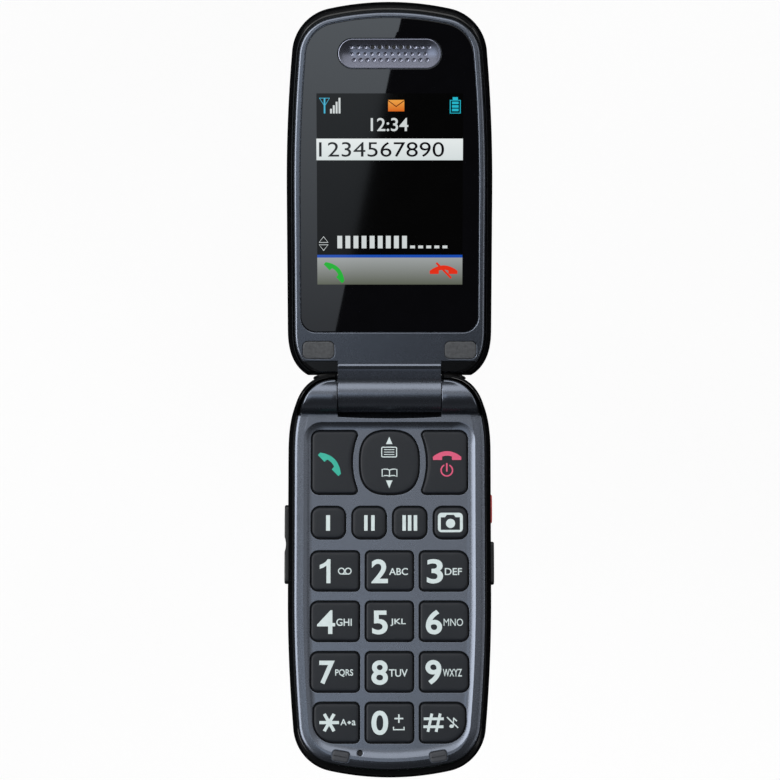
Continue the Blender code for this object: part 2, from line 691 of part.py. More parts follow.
def base_front_cover(material, pocket, ears):
    """Front cover: face and skirt, ears, hinge trough, dish, key holes and seats."""
    low = FACE - FRONT_SKIRT_DROP
    inner = base_plan(FRONT_INSET + FRONT_SKIRT_WALL)
    rings = [level(inner, WALL_LOW), level(inner, low), level(base_plan(FRONT_INSET), low)]
    for inset, height in FRONT_SLOPE_SHARES[1:]:
        z = FACE - FRONT_SLOPE + height * FRONT_SLOPE
        rings.append(level(base_plan(FRONT_INSET + inset * FRONT_SLOPE_WIDTH), z))
    cover = solid("base_front_cover", [rings], material)

    ear_low = HINGE_HEIGHT - EAR_RADIUS - OVERRUN
    ear_high = HINGE_HEIGHT + EAR_RADIUS + OVERRUN
    column = [level(base_plan(FRONT_INSET + EAR_SETBACK), z) for z in (ear_low, ear_high)]
    ear_guide = combine(solid("guide_ears", [column]), "INTERSECT", ears)
    trough_end = EAR_RADIUS - FRONT_INSET - FIT
    trough = solid("guide_trough", [
        pocket_rings(POCKET_GAP + POCKET_WALL, trough_end, DISH_FLOOR, POCKET_HALF + POCKET_WALL)])
    end_screw = screw_places()["base_screw_end"]
    boss = solid("guide_front_boss", [post(BOSS_RADIUS, BOARD_LOW, DISH_FLOOR - FRONT_WALL / 2, end_screw)])
    combine(cover, "UNION", ear_guide, trough, boss)

    wall_top = FACE + OVERRUN
    run = DISH_WALL_RUN / DISH_DEPTH
    dish = [level(base_area(DISH_INSET + run * (FACE - z), DISH_START + run * (FACE - z),
                            DISH_CORNER, DISH_END_MARGIN - DISH_INSET), z)
            for z in (DISH_FLOOR, wall_top)]
    combine(cover, "DIFFERENCE", pocket, solid("guide_dish", [dish]))
    combine(cover, "DIFFERENCE", key_holes(), small_front_cuts(), ear_bores())
    return cover


def key_holes():
    """Guide that cuts the hole of every front key."""
    holes = []
    for _, (x, d), outline in key_shapes():
        points = [(x + px, HINGE_Y - d + py) for px, py in outline(KEY_HOLE_GAP)]
        holes.append(slab(points, WALL_LOW - OVERRUN, FACE + OVERRUN))
    return solid("guide_key_holes", holes)


def bumper_angle(side):
    """Turn of a bumper that lies along the free end's arc."""
    return -side * math.asin(BUMPER_SIDE / END_RADIUS)


def turned_points(points, angle, centre):
    """Turn plan points about their middle and move them to a place."""
    cosine, sine = math.cos(angle), math.sin(angle)
    return [(centre[0] + cosine * x - sine * y, centre[1] + sine * x + cosine * y) for x, y in points]


def bumper_points(side, margin):
    """Plan of one rubber bumper, grown by a margin."""
    box = rounded_box(BUMPER_LENGTH / 2 + margin, BUMPER_WIDTH / 2 + margin, BUMPER_CORNER + margin)
    place = (side * BUMPER_SIDE, HINGE_Y - BUMPER_PLACE)
    return turned_points(box, -bumper_angle(side), place)


def small_front_cuts():
    """Guide for the bumper seats, the microphone hole and the end screw's hole."""
    cuts = []
    for side in (-1, 1):
        points = bumper_points(side, FIT)
        cuts.append(slab(points, DISH_FLOOR - BUMPER_SEAT, FACE + OVERRUN))
    mic = (-MIC_SIDE, HINGE_Y - MIC_PLACE)
    cuts.append(post(MIC_HOLE_RADIUS, WALL_LOW - OVERRUN, FACE + OVERRUN, mic, SMALL_ROUND_COUNT))
    end_screw = screw_places()["base_screw_end"]
    cuts.append(post(SCREW_HOLE_RADIUS, BOARD_LOW - OVERRUN, WALL_LOW, end_screw, SMALL_ROUND_COUNT))
    return solid("guide_small_front_cuts", cuts)


def ear_bores():
    """Guide for the bores that hold the hinge's noses and the screws in the ears."""
    cuts = []
    depth = POCKET_HALF + NOSE_LENGTH
    for side in (-1, 1):
        ends = sorted((side * (POCKET_HALF - OVERRUN), side * depth))
        cuts.append(rod([(EAR_BORE_RADIUS, x) for x in ends], HINGE_Y, HINGE_HEIGHT))
    top = ear_screw_top() + FIT
    low = HINGE_HEIGHT - EAR_RADIUS - OVERRUN
    for name in ("base_screw_left", "base_screw_right"):
        cuts.append(post(SCREW_HOLE_RADIUS, low, top, screw_places()[name], SMALL_ROUND_COUNT))
    return solid("guide_ear_bores", cuts)


def ear_screw_top():
    """Height that the screws reach in the ears, below the nose's bore."""
    return HINGE_HEIGHT - EAR_RADIUS + EAR_SCREW_BITE


def base_rear_cover(material, pocket, ears):
    """Rear cover: back wall, sides, ear backs, battery well, bosses and openings."""
    rings = []
    for inset, height in REAR_SIDE_SHARES:
        rings.append(level(base_plan(inset * REAR_ROUNDING), height * RIM_HEIGHT))
    top = HINGE_HEIGHT + EAR_RADIUS + OVERRUN
    inside = base_plan(REAR_WALL)
    rings.append(level(base_plan(EAR_TAPER), top))
    rings.append(level(inside, top))
    rings.append(level(inside, FLOOR_TOP))
    cover = solid("base_rear_cover", [rings], material)

    room = block((-WIDTH, -BASE_REACH, RIM_HEIGHT), (WIDTH, BASE_REACH, top + OVERRUN))
    headroom = combine(solid("guide_headroom", [room]), "DIFFERENCE", ears)
    combine(cover, "DIFFERENCE", headroom)

    well = battery_box(FIT + WELL_WALL, FLOOR_TOP - OVERRUN, WELL_TOP)
    bosses = [post(BOSS_RADIUS, FLOOR_TOP - OVERRUN, WELL_TOP, place) for place in screw_places().values()]
    combine(cover, "UNION", solid("guide_well", [well]), solid("guide_rear_bosses", bosses))
    combine(cover, "DIFFERENCE", pocket, rear_cuts(), side_slots(), back_openings())
    return cover


def battery_box(margin, low, high):
    """Rings of the battery's own box, grown all round by a margin."""
    corner = BATTERY_CORNER + margin
    centre = (0.0, HINGE_Y - BATTERY_START - BATTERY_LENGTH / 2)
    points = rounded_box(BATTERY_WIDTH / 2 + margin, BATTERY_LENGTH / 2 + margin, corner, centre=centre)
    return slab(points, low, high)


def door_points(margin):
    """Plan of the battery door, grown by a margin."""
    centre = (0.0, HINGE_Y - DOOR_START - DOOR_LENGTH / 2)
    half_x, half_y = DOOR_WIDTH / 2 + margin, DOOR_LENGTH / 2 + margin
    return rounded_box(half_x, half_y, DOOR_CORNER + margin, centre=centre)


def rear_cuts():
    """Guide for the battery's space and the screws' sinks and holes."""
    cuts = [battery_box(FIT, -OVERRUN, WELL_CEILING)]
    for place in screw_places().values():
        seat = SCREW_HEAD_SINK + SCREW_HEAD
        profile = ((SCREW_SINK_RADIUS, -OVERRUN), (SCREW_SINK_RADIUS, seat + FIT),
                   (SCREW_HOLE_RADIUS, seat + FIT), (SCREW_HOLE_RADIUS, WELL_TOP + OVERRUN))
        cuts.append(turned(profile, place))
    return solid("guide_rear_cuts", cuts)


def side_key_sizes():
    """Side keys: side of the phone, start, length, depth and how far each stands out."""
    return {
        "volume_rocker": (-1, ROCKER_START, ROCKER_LENGTH, ROCKER_DEPTH, ROCKER_PROUD),
        "side_key": (1, SIDE_KEY_START, SIDE_KEY_LENGTH, SIDE_KEY_DEPTH, SIDE_KEY_PROUD),
        "emergency_key": (1, HELP_KEY_START, HELP_KEY_LENGTH, SIDE_KEY_DEPTH, HELP_KEY_PROUD),
    }


def side_slots():
    """Guide for the slots of the side keys."""
    slots = []
    for side, start, length, depth, _ in side_key_sizes().values():
        centre = (HINGE_Y - start - length / 2, SIDE_KEY_HEIGHT)
        points = rounded_box(length / 2 + SIDE_GAP, depth / 2 + SIDE_GAP, SIDE_KEY_CORNER + SIDE_GAP,
                             centre=centre)
        inner = side * (HALF_WIDTH - REAR_WALL - OVERRUN)
        slots.append([section(points, inner), section(points, side * (HALF_WIDTH + OVERRUN))])
    return solid("guide_side_slots", slots)


def back_openings():
    """Guide for the loudspeaker slots, the contacts' window, the socket and the door's seat."""
    cuts = []
    for index in range(SLOT_COUNT):
        y = HINGE_Y - SPEAKER_PLACE + (index - (SLOT_COUNT - 1) / 2) * SLOT_PITCH
        points = rounded_box(SLOT_LENGTH / 2, SLOT_WIDTH / 2, SLOT_WIDTH / 2, 3, (-SPEAKER_SIDE, y))
        cuts.append(slab(points, -OVERRUN, FLOOR_TOP + FIT))
    for (low, high), lead, sole in ((contact_corners(), OVERRUN, FIT),
                                    (socket_corners(), OVERRUN + SOCKET_SINK, FIT / 2)):
        cuts.append(block((low[0] - FIT, low[1] - lead, low[2] - sole),
                          (high[0] + FIT, high[1], high[2] + FIT)))
    guide = solid("guide_back_openings", cuts)
    seat_points = door_points(DOOR_GAP)
    seat = solid("guide_door_seat", [slab(seat_points, -OVERRUN, BATTERY_LOW)])
    return combine(guide, "UNION", seat)


def contact_corners():
    """Low and high corners of the battery contacts, which sit in the well's hinge-side wall."""
    y = HINGE_Y - BATTERY_START + FIT
    low = FLOOR_TOP + FIT
    return ((-CONTACT_WIDTH / 2, y, low), (CONTACT_WIDTH / 2, y + CONTACT_LENGTH, low + CONTACT_HEIGHT))


def socket_corners():
    """Low and high corners of the charging socket at the keypad's end."""
    end = HINGE_Y - BASE_REACH + END_RADIUS - math.sqrt(END_RADIUS ** 2 - SOCKET_SIDE ** 2)
    low = (SOCKET_SIDE - SOCKET_WIDTH / 2, end + SOCKET_SINK, FLOOR_TOP + FIT)
    return low, (low[0] + SOCKET_WIDTH, low[1] + SOCKET_LENGTH, low[2] + SOCKET_HEIGHT)


def front_key(name, centre, outline, material):
    """One front key: a flange that the cover holds, a stem, and a top with a soft edge."""
    x, d = centre
    top = DISH_FLOOR + KEY_PROUD
    rings = [level(outline(KEY_FLANGE_MARGIN), FLANGE_LOW), level(outline(KEY_FLANGE_MARGIN), FLANGE_TOP),
             level(outline(0.0), FLANGE_TOP)]
    for inset, height in KEY_EDGE_SHARES:
        rings.append(level(outline(-inset * KEY_EDGE), top - KEY_EDGE + height * KEY_EDGE))
    rings = [[(px, py, z - FLANGE_LOW) for px, py, z in ring] for ring in rings]
    return solid(name, [rings], material, (x, HINGE_Y - d, FLANGE_LOW))


def side_key(name, material):
    """One key in a side wall: an inner flange, a stem and a soft outer edge."""
    side, start, length, depth, proud = side_key_sizes()[name]
    inner = HALF_WIDTH - REAR_WALL - SIDE_FLANGE_GAP
    outer = HALF_WIDTH + proud

    def ring(margin, x):
        corner = SIDE_KEY_CORNER + margin
        return section(rounded_box(length / 2 + margin, depth / 2 + margin, corner), side * (x - inner))

    rings = [ring(SIDE_FLANGE_MARGIN, inner - SIDE_FLANGE), ring(SIDE_FLANGE_MARGIN, inner),
             ring(0.0, inner), ring(0.0, outer - SIDE_KEY_EDGE), ring(-SIDE_KEY_EDGE, outer)]
    place = (side * inner, HINGE_Y - start - length / 2, SIDE_KEY_HEIGHT)
    return solid(name, [rings], material, place)


def board_and_mat(board_material, sheet_material, mat_material):
    """Main board, dome sheet and rubber keypad mat, all clear of the end boss."""
    end_screw = screw_places()["base_screw_end"]
    boss = solid("guide_boss_room", [post(BOSS_RADIUS + FIT, FLOOR_TOP, FACE, end_screw)])
    board_points = base_area(BOARD_INSET, BOARD_START, KEY_CORNER)
    board = solid("main_board", [slab(board_points, BOARD_LOW, BOARD_TOP)], board_material)
    combine(board, "DIFFERENCE", boss)

    mic = (-MIC_SIDE, HINGE_Y - MIC_PLACE)
    mic_room = solid("guide_mic_room", [post(MIC_RADIUS + FIT, BOARD_TOP, FACE, mic)])
    area = base_area(MAT_INSET, MAT_START, KEY_CORNER)
    sheet = solid("dome_sheet", [slab(area, DOME_SHEET_LOW, DOME_SHEET_TOP)], sheet_material)
    domes = [post(DOME_RADIUS, DOME_SHEET_LOW + DOME_SHEET_THICKNESS / 2, DOME_TOP, (x, HINGE_Y - d), 8)
             for _, (x, d), _ in key_shapes()]
    combine(sheet, "UNION", solid("guide_domes", domes))
    combine(sheet, "DIFFERENCE", boss, mic_room)
    mat = solid("keypad_mat", [slab(area, MAT_LOW, MAT_TOP)], mat_material)
    combine(mat, "DIFFERENCE", boss, mic_room)


def base_fittings(finishes):
    """Battery, door, sounders, socket, contacts, antenna, screws and bumpers."""
    solid("battery", [battery_box(0.0, BATTERY_LOW, BATTERY_TOP)], finishes["battery"])
    door = door_points(0.0)
    solid("battery_door", [slab(door, 0.0, DOOR_THICKNESS)], finishes["door"])
    low = FLOOR_TOP + FIT
    speaker = (-SPEAKER_SIDE, HINGE_Y - SPEAKER_PLACE)
    solid("loudspeaker", [post(SPEAKER_RADIUS, low, low + SPEAKER_THICKNESS, speaker)], finishes["sounder"])
    mic = (-MIC_SIDE, HINGE_Y - MIC_PLACE)
    solid("microphone", [post(MIC_RADIUS, BOARD_TOP + FIT, WALL_LOW - FIT, mic)], finishes["sounder"])
    vibration_motor(finishes["steel"])
    sim_low = BOARD_LOW - FIT - SIM_THICKNESS
    sim = rounded_box(SIM_WIDTH / 2, SIM_LENGTH / 2, KEY_EDGE, 2, (SIM_SIDE, HINGE_Y - SIM_PLACE))
    solid("sim_holder", [slab(sim, sim_low, sim_low + SIM_THICKNESS)], finishes["steel"])
    antenna_y = HINGE_Y - ANTENNA_START - ANTENNA_LENGTH / 2
    antenna = rounded_box(ANTENNA_WIDTH / 2, ANTENNA_LENGTH / 2, KEY_EDGE, 2, (0.0, antenna_y))
    solid("antenna", [slab(antenna, low, low + ANTENNA_THICKNESS)], finishes["copper"])
    solid("battery_contacts", [block(*contact_corners())], finishes["gold"])
    charging_socket(finishes["steel"])
    for name, place in screw_places().items():
        top = ear_screw_top() if name != "base_screw_end" else WALL_LOW - FIT
        seat = SCREW_HEAD_SINK + SCREW_HEAD
        profile = ((SCREW_HEAD_RADIUS, SCREW_HEAD_SINK), (SCREW_HEAD_RADIUS, seat),
                   (SCREW_SHANK_RADIUS, seat), (SCREW_SHANK_RADIUS, top))
        solid(name, [turned(profile, place)], finishes["screw"])
    for side, name in ((-1, "bumper_left"), (1, "bumper_right")):
        seat = DISH_FLOOR - BUMPER_SEAT + FIT
        top = FACE + BUMPER_PROUD
        rings = [level(bumper_points(side, 0.0), seat),
                 level(bumper_points(side, 0.0), top - KEY_EDGE / 2),
                 level(bumper_points(side, -KEY_EDGE / 2), top)]
        solid(name, [rings], finishes["rubber"])


def vibration_motor(material):
    """Small motor lying across the phone, with its weight on the shaft."""
    z = FLOOR_TOP + FIT + MOTOR_RADIUS
    shaft = MOTOR_RADIUS / 4
    end = MOTOR_SIDE + MOTOR_LENGTH
    weight = end + MOTOR_RADIUS / 4
    profile = ((MOTOR_RADIUS, MOTOR_SIDE), (MOTOR_RADIUS, end), (shaft, end), (shaft, weight),
               (MOTOR_RADIUS, weight), (MOTOR_RADIUS, weight + MOTOR_WEIGHT_LENGTH))
    solid("vibration_motor", [rod(profile, HINGE_Y - MOTOR_PLACE, z, SMALL_ROUND_COUNT)], material)


def charging_socket(material):
    """Socket shell with its mouth hollowed out."""
    low, high = socket_corners()
    socket = solid("charging_socket", [block(low, high)], material)
    wall = SOCKET_MOUTH_WALL
    mouth = block((low[0] + wall, low[1] - OVERRUN, low[2] + wall),
                  (high[0] - wall, low[1] + SOCKET_MOUTH_DEPTH, high[2] - wall))
    combine(socket, "DIFFERENCE", solid("guide_socket_mouth", [mouth]))


def lid_front_cover(material, axis):
    """Window frame, skirt and chin of the lid, with the tongue and the hinge barrel."""
    skirt = FRONT_INSET + LID_SKIRT_WALL
    cavity = lid_area(skirt, LID_END_WALL_REACH, KEY_CORNER)
    # The outer plan has other counts than the cavity, so the hollow is a Boolean.
    rings = [level(lid_plan(FRONT_INSET), LID_SKIRT_LOW)]
    for inset, drop in LID_EDGE_SHARES:
        rings.append(level(lid_plan(FRONT_INSET + inset * LID_EDGE), LID_FACE - drop * LID_EDGE))
    cover = solid("lid_front_cover", [rings], material, parent=axis)
    hollow = solid("guide_lid_hollow", [slab(cavity, LID_SKIRT_LOW - OVERRUN, PLATE_LOW)], parent=axis)
    combine(cover, "DIFFERENCE", hollow, chin_cut(axis, True))
    combine(cover, "UNION", neck(axis))
    bore_ends = [(HINGE_BORE_RADIUS, side * WIDTH) for side in (-1, 1)]
    bore = solid("guide_barrel_bore", [rod(bore_ends, 0.0, 0.0)], parent=axis)
    combine(cover, "DIFFERENCE", bore, lid_front_cuts(axis))
    return cover


def neck(axis):
    """Guide: the round barrel and the flat tongue that joins it to the lid."""
    root = LID_END_WALL_REACH - FIT
    back = -BARREL_RADIUS * NECK_DEPTH_SHARE
    top = LID_FACE + TONGUE_PROUD
    edge = TONGUE_PROUD / 2
    round_part = (BARREL_RADIUS, BARREL_RADIUS)
    points = curve_points((0.0, 0.0), round_part, tongue_angle(), 1.5 * math.pi, BARREL_COUNT // 2)
    points += [(root, back), (root, LID_FACE - FIT), (TONGUE_REACH, LID_FACE - FIT),
               (TONGUE_REACH, top - edge), (TONGUE_REACH - edge, top), (TONGUE_BEND, top)]
    return solid("guide_neck", [[section(points, side * BARREL_HALF) for side in (-1, 1)]], parent=axis)


def chin_cut(axis, keep_middle):
    """Guide that clears the lid's chin from the ears, closed, open and in between."""
    radius = EAR_RADIUS + CHIN_GAP
    stop = EAR_RADIUS + STOP_GAP
    deep = LID_OUTSIDE - OVERRUN

    def stop_line(w):
        return (stop + w * math.sin(REST_TILT)) / math.cos(REST_TILT)

    meet = -math.asin(min(1.0, stop / radius)) - REST_TILT + math.pi / 2
    start = math.asin((LID_FACE + OVERRUN) / radius)
    points = curve_points((0.0, 0.0), (radius, radius), start, -abs(meet), POCKET_ARC_STEPS)
    points += [(stop_line(deep), deep), (-radius, deep), (-radius, LID_FACE + OVERRUN)]
    middle = BARREL_HALF - BARREL_SIDE_GAP
    spans = [(-WIDTH, -middle), (middle, WIDTH)] if keep_middle else [(-WIDTH, WIDTH)]
    lofts = [[section(points, x) for x in span] for span in spans]
    return solid("guide_chin_front" if keep_middle else "guide_chin_outer", lofts, parent=axis)


def lid_front_cuts(axis):
    """Guide for the window seat, display opening, earpiece slot, pad seats and screw holes."""
    top = LID_FACE + OVERRUN
    window = window_points(-FIT)
    seat = solid("guide_window_seat", [slab(window, WINDOW_SEAT, top)], parent=axis)
    opening = display_points(DISPLAY_OPENING_MARGIN)
    slot = earpiece_points(-EARPIECE_SLOT_MARGIN, KEY_CORNER_STEPS)
    lofts = [slab(points, PLATE_LOW - OVERRUN, WINDOW_SEAT + FIT) for points in (opening, slot)]
    for side in (-1, 1):
        lofts.append(slab(pad_points(side, FIT), LID_FACE - PAD_SEAT - FIT, top))
    combine(seat, "UNION", solid("guide_lid_openings", lofts, parent=axis), screw_ways(axis))
    return seat


def screw_ways(axis):
    """Guide for the sinks and holes of the two lid screws."""
    ways = []
    pad_seat = LID_FACE - PAD_SEAT - FIT
    head_seat = pad_seat - LID_SCREW_HEAD - FIT
    for side in (-1, 1):
        profile = ((SCREW_HOLE_RADIUS, PLATE_LOW - OVERRUN), (SCREW_HOLE_RADIUS, head_seat),
                   (SCREW_SINK_RADIUS, head_seat), (SCREW_SINK_RADIUS, pad_seat + FIT))
        ways.append(turned(profile, (side * PAD_SIDE, PAD_PLACE)))
    return solid("guide_lid_screw_ways", ways, parent=axis)


def display_points(margin):
    """Plan of the display, grown by a margin."""
    middle = (0.0, DISPLAY_START + DISPLAY_LENGTH / 2)
    half_x, half_y = DISPLAY_WIDTH / 2 + margin, DISPLAY_LENGTH / 2 + margin
    return rounded_box(half_x, half_y, DISPLAY_OPENING_MARGIN, 2, middle)


def window_points(inset):
    """Plan of the window glass, taken in by an inset."""
    margin = WINDOW_END_INSET - WINDOW_INSET
    return lid_area(WINDOW_INSET + inset, WINDOW_START + inset, WINDOW_CORNER - inset, margin)


def pad_points(side, margin):
    """Plan of one chin pad, grown by a margin."""
    return rounded_box(PAD_WIDTH / 2 + margin, PAD_LENGTH / 2 + margin, PAD_CORNER + margin,
                       centre=(side * PAD_SIDE, PAD_PLACE))


def lid_outer_cover(material, axis):
    """Outer shell of the lid, open at its hinge end, with seats for camera and small display."""
    rings = []
    height = LID_RIM - LID_OUTSIDE
    for inset, share in LID_SIDE_SHARES:
        rings.append(level(lid_plan(inset * LID_ROUNDING), LID_OUTSIDE + share * height))
    inside = lid_plan(REAR_WALL)
    rings.append(level(inside, LID_RIM))
    rings.append(level(inside, LID_FLOOR))
    cover = solid("lid_outer_cover", [rings], material, parent=axis)
    places = [(side * PAD_SIDE, PAD_PLACE) for side in (-1, 1)]
    boss_low = LID_FLOOR - OUTER_WALL / 2
    bosses = [post(LID_BOSS_RADIUS, boss_low, PLATE_LOW - FIT, place) for place in places]
    combine(cover, "UNION", solid("guide_lid_bosses", bosses, parent=axis))
    holes = [post(SCREW_HOLE_RADIUS, LID_FLOOR, PLATE_LOW + OVERRUN, place, SMALL_ROUND_COUNT)
             for place in places]
    combine(cover, "DIFFERENCE", solid("guide_lid_boss_holes", holes, parent=axis), chin_cut(axis, False))
    combine(cover, "DIFFERENCE", outer_openings(axis))
    return cover


def outer_openings(axis):
    """Guide for the seats and openings of the outer window and the camera window."""
    low = LID_OUTSIDE - OVERRUN
    seat = LID_OUTSIDE + OUTER_GLASS_DROP + OUTER_GLASS_THICKNESS + FIT
    window = outer_window_points(FIT)
    place = (0.0, OUTER_WINDOW_PLACE)
    opening = rounded_box(OUTER_DISPLAY_WIDTH / 2, OUTER_DISPLAY_LENGTH / 2, KEY_EDGE, 2, place)
    seats = solid("guide_outer_seats", [
        slab(window, low, seat),
        post(CAMERA_WINDOW_RADIUS + FIT, low, seat, (0.0, CAMERA_PLACE)),
    ], parent=axis)
    openings = solid("guide_outer_openings", [
        slab(opening, seat - FIT, LID_FLOOR + OVERRUN),
        post(CAMERA_LENS_RADIUS + FIT, seat - FIT, LID_FLOOR + OVERRUN, (0.0, CAMERA_PLACE)),
    ], parent=axis)
    return combine(seats, "UNION", openings)


def outer_window_points(margin):
    """Plan of the outer window, grown by a margin."""
    return rounded_box(OUTER_WINDOW_WIDTH / 2 + margin, OUTER_WINDOW_LENGTH / 2 + margin,
                       OUTER_WINDOW_CORNER + margin, centre=(0.0, OUTER_WINDOW_PLACE))


def earpiece_points(margin, steps=KEY_CORNER_STEPS * 2):
    """Plan of the earpiece, a bar with round ends, grown by a margin."""
    half = EARPIECE_LENGTH / 2 + margin
    return rounded_box(EARPIECE_WIDTH / 2 + margin, half, half, steps, (0.0, EARPIECE_PLACE))


def lid_fittings(finishes, axis):
    """Glass, display, earpiece, pads, screws, board, camera and outer display."""
    window = window_points(0.0)
    glass = solid("window_glass", [slab(window, GLASS_LOW, GLASS_TOP)], finishes["glass"], parent=axis)
    hole = earpiece_points(FIT)
    combine(glass, "DIFFERENCE", solid("guide_earpiece_hole", [
        slab(hole, GLASS_LOW - OVERRUN, GLASS_TOP + OVERRUN)], parent=axis))
    top = GLASS_TOP - EARPIECE_SINK
    rings = slab(earpiece_points(0.0), top - EARPIECE_THICKNESS, top)
    rings.append(level(earpiece_points(-EARPIECE_DISH), top))
    rings.append(level(earpiece_points(-2 * EARPIECE_DISH), top - EARPIECE_DISH))
    solid("earpiece_grille", [rings], finishes["grille"], parent=axis)
    flat_box("earpiece_speaker", (0.0, EARPIECE_PLACE), (RECEIVER_WIDTH, RECEIVER_LENGTH),
             (PLATE_LOW - FIT - RECEIVER_THICKNESS, PLATE_LOW - FIT), finishes["sounder"], axis)
    display = slab(display_points(DISPLAY_BORDER), DISPLAY_LOW, DISPLAY_TOP)
    solid("display_module", [display], finishes["display"], parent=axis)
    board_place = (0.0, LID_BOARD_START + LID_BOARD_LENGTH / 2)
    board_top = DISPLAY_LOW - FIT
    flat_box("lid_board", board_place, (LID_BOARD_WIDTH, LID_BOARD_LENGTH),
             (board_top - LID_BOARD_THICKNESS, board_top), finishes["board"], axis)
    flat_box("outer_display", (0.0, OUTER_WINDOW_PLACE), (OUTER_DISPLAY_WIDTH, OUTER_DISPLAY_LENGTH),
             (OUTER_DISPLAY_LOW, OUTER_DISPLAY_TOP), finishes["display"], axis)
    glass_low = LID_OUTSIDE + OUTER_GLASS_DROP
    glass_top = glass_low + OUTER_GLASS_THICKNESS
    outer = slab(outer_window_points(0.0), glass_low, glass_top)
    solid("outer_window", [outer], finishes["glass"], parent=axis)
    camera = (0.0, CAMERA_PLACE)
    lens_cover = post(CAMERA_WINDOW_RADIUS, glass_low, glass_top, camera)
    solid("camera_window", [lens_cover], finishes["glass"], parent=axis)
    camera_module(glass_top + FIT, camera, finishes["sounder"], axis)
    chin_pads(finishes, axis)


def flat_box(name, centre, size, heights, material, axis):
    """A flat box-shaped piece of the lid."""
    corner = min(KEY_EDGE, size[1] / 8)
    points = rounded_box(size[0] / 2, size[1] / 2, corner, 2, centre)
    return solid(name, [[level(points, z) for z in heights]], material, parent=axis)


def camera_module(lens_low, centre, material, axis):
    """Camera block with its round lens reaching to the camera window."""
    top = PLATE_LOW - FIT
    outline = rounded_box(CAMERA_SIZE / 2, CAMERA_SIZE / 2, KEY_EDGE, 2, centre)
    module = solid("camera_module", [slab(outline, top - CAMERA_THICKNESS, top)], material, parent=axis)
    lens = post(CAMERA_LENS_RADIUS, lens_low, top - CAMERA_THICKNESS / 2, centre)
    combine(module, "UNION", solid("guide_camera_lens", [lens], parent=axis))


def chin_pads(finishes, axis):
    """The two rubber pads of the chin and the screws that they cover."""
    for side, end in ((-1, "left"), (1, "right")):
        seat = LID_FACE - PAD_SEAT
        top = LID_FACE + PAD_PROUD
        rings = [level(pad_points(side, 0.0), seat), level(pad_points(side, 0.0), top - PAD_PROUD),
                 level(pad_points(side, -PAD_PROUD), top)]
        solid("chin_pad_" + end, [rings], finishes["rubber"], parent=axis)
        head_top = seat - FIT
        head_low = head_top - LID_SCREW_HEAD
        profile = ((SCREW_SHANK_RADIUS, LID_FLOOR + FIT), (SCREW_SHANK_RADIUS, head_low),
                   (SCREW_HEAD_RADIUS, head_low), (SCREW_HEAD_RADIUS, head_top))
        screw = turned(profile, (side * PAD_SIDE, PAD_PLACE))
        solid("lid_screw_" + end, [screw], finishes["screw"], parent=axis)


def hinge_pieces(finishes, axis):
    """Spring cartridge at the right and plain bush at the left, noses in the ears."""
    nose = POCKET_HALF + NOSE_LENGTH - FIT
    for name, side, length in (("hinge_cartridge", 1, CARTRIDGE_LENGTH), ("hinge_bush", -1, BUSH_LENGTH)):
        inner = side * (BARREL_HALF - length)
        outer = side * BARREL_HALF
        profile = ((CARTRIDGE_RADIUS, inner), (CARTRIDGE_RADIUS, outer),
                   (NOSE_RADIUS, outer), (NOSE_RADIUS, side * nose))
        solid(name, [rod(profile, 0.0, 0.0)], finishes["steel"], parent=axis)


def make_finishes():
    """Every material of the phone."""
    return {
        "satin": finish("satin_front", (0.055, 0.065, 0.080), 0.38, 0.35),
        "black": finish("gloss_black", (0.010, 0.010, 0.012), 0.16),
        "key": finish("key_rubber", (0.028, 0.031, 0.038), 0.55),
        "side_key": finish("side_key_plastic", (0.020, 0.021, 0.024), 0.40),
        "help": finish("emergency_red", (0.55, 0.01, 0.02), 0.35),
        "rubber": finish("pad_rubber", (0.060, 0.062, 0.066), 0.80),
        "glass": finish("window_black_glass", (0.006, 0.006, 0.008), 0.04),
        "grille": finish("silver_mesh", (0.42, 0.43, 0.50), 0.28, 0.9),
        "display": finish("display_black", (0.012, 0.012, 0.014), 0.30),
        "board": finish("board_green", (0.02, 0.13, 0.06), 0.45),
        "sheet": finish("dome_steel_sheet", (0.60, 0.60, 0.58), 0.35, 0.6),
        "mat": finish("mat_silicone", (0.35, 0.35, 0.36), 0.60),
        "battery": finish("battery_case", (0.10, 0.10, 0.11), 0.50),
        "door": finish("door_plastic", (0.012, 0.012, 0.014), 0.45),
        "sounder": finish("sounder_black", (0.03, 0.03, 0.03), 0.50),
        "steel": finish("steel", (0.55, 0.55, 0.56), 0.30, 1.0),
        "screw": finish("screw_steel", (0.25, 0.25, 0.26), 0.35, 1.0),
        "copper": finish("antenna_copper", (0.72, 0.42, 0.26), 0.35, 1.0),
        "gold": finish("contact_gold", (0.80, 0.60, 0.25), 0.25, 1.0),
    }


def main():
    """Build the phone, open at its stop."""
    clear_scene()
    finishes = make_finishes()
    ears = ear_cylinder("guide_ear_cylinder")
    pocket = hinge_pocket()
    base_front_cover(finishes["satin"], pocket, ears)
    base_rear_cover(finishes["black"], pocket, ears)
    for name, centre, outline in key_shapes():
        front_key(name, centre, outline, finishes["key"])
    side_key("volume_rocker", finishes["side_key"])
    side_key("side_key", finishes["side_key"])
    side_key("emergency_key", finishes["help"])
    board_and_mat(finishes["board"], finishes["sheet"], finishes["mat"])
    base_fittings(finishes)

    axis = bpy.data.objects.new("lid_axis", None)
    bpy.context.scene.collection.objects.link(axis)
    axis.location = (0.0, HINGE_Y, HINGE_HEIGHT)
    axis.rotation_euler = (REST_TILT, 0.0, 0.0)
    lid_front_cover(finishes["satin"], axis)
    lid_outer_cover(finishes["black"], axis)
    lid_fittings(finishes, axis)
    hinge_pieces(finishes, axis)
    settle()


main()
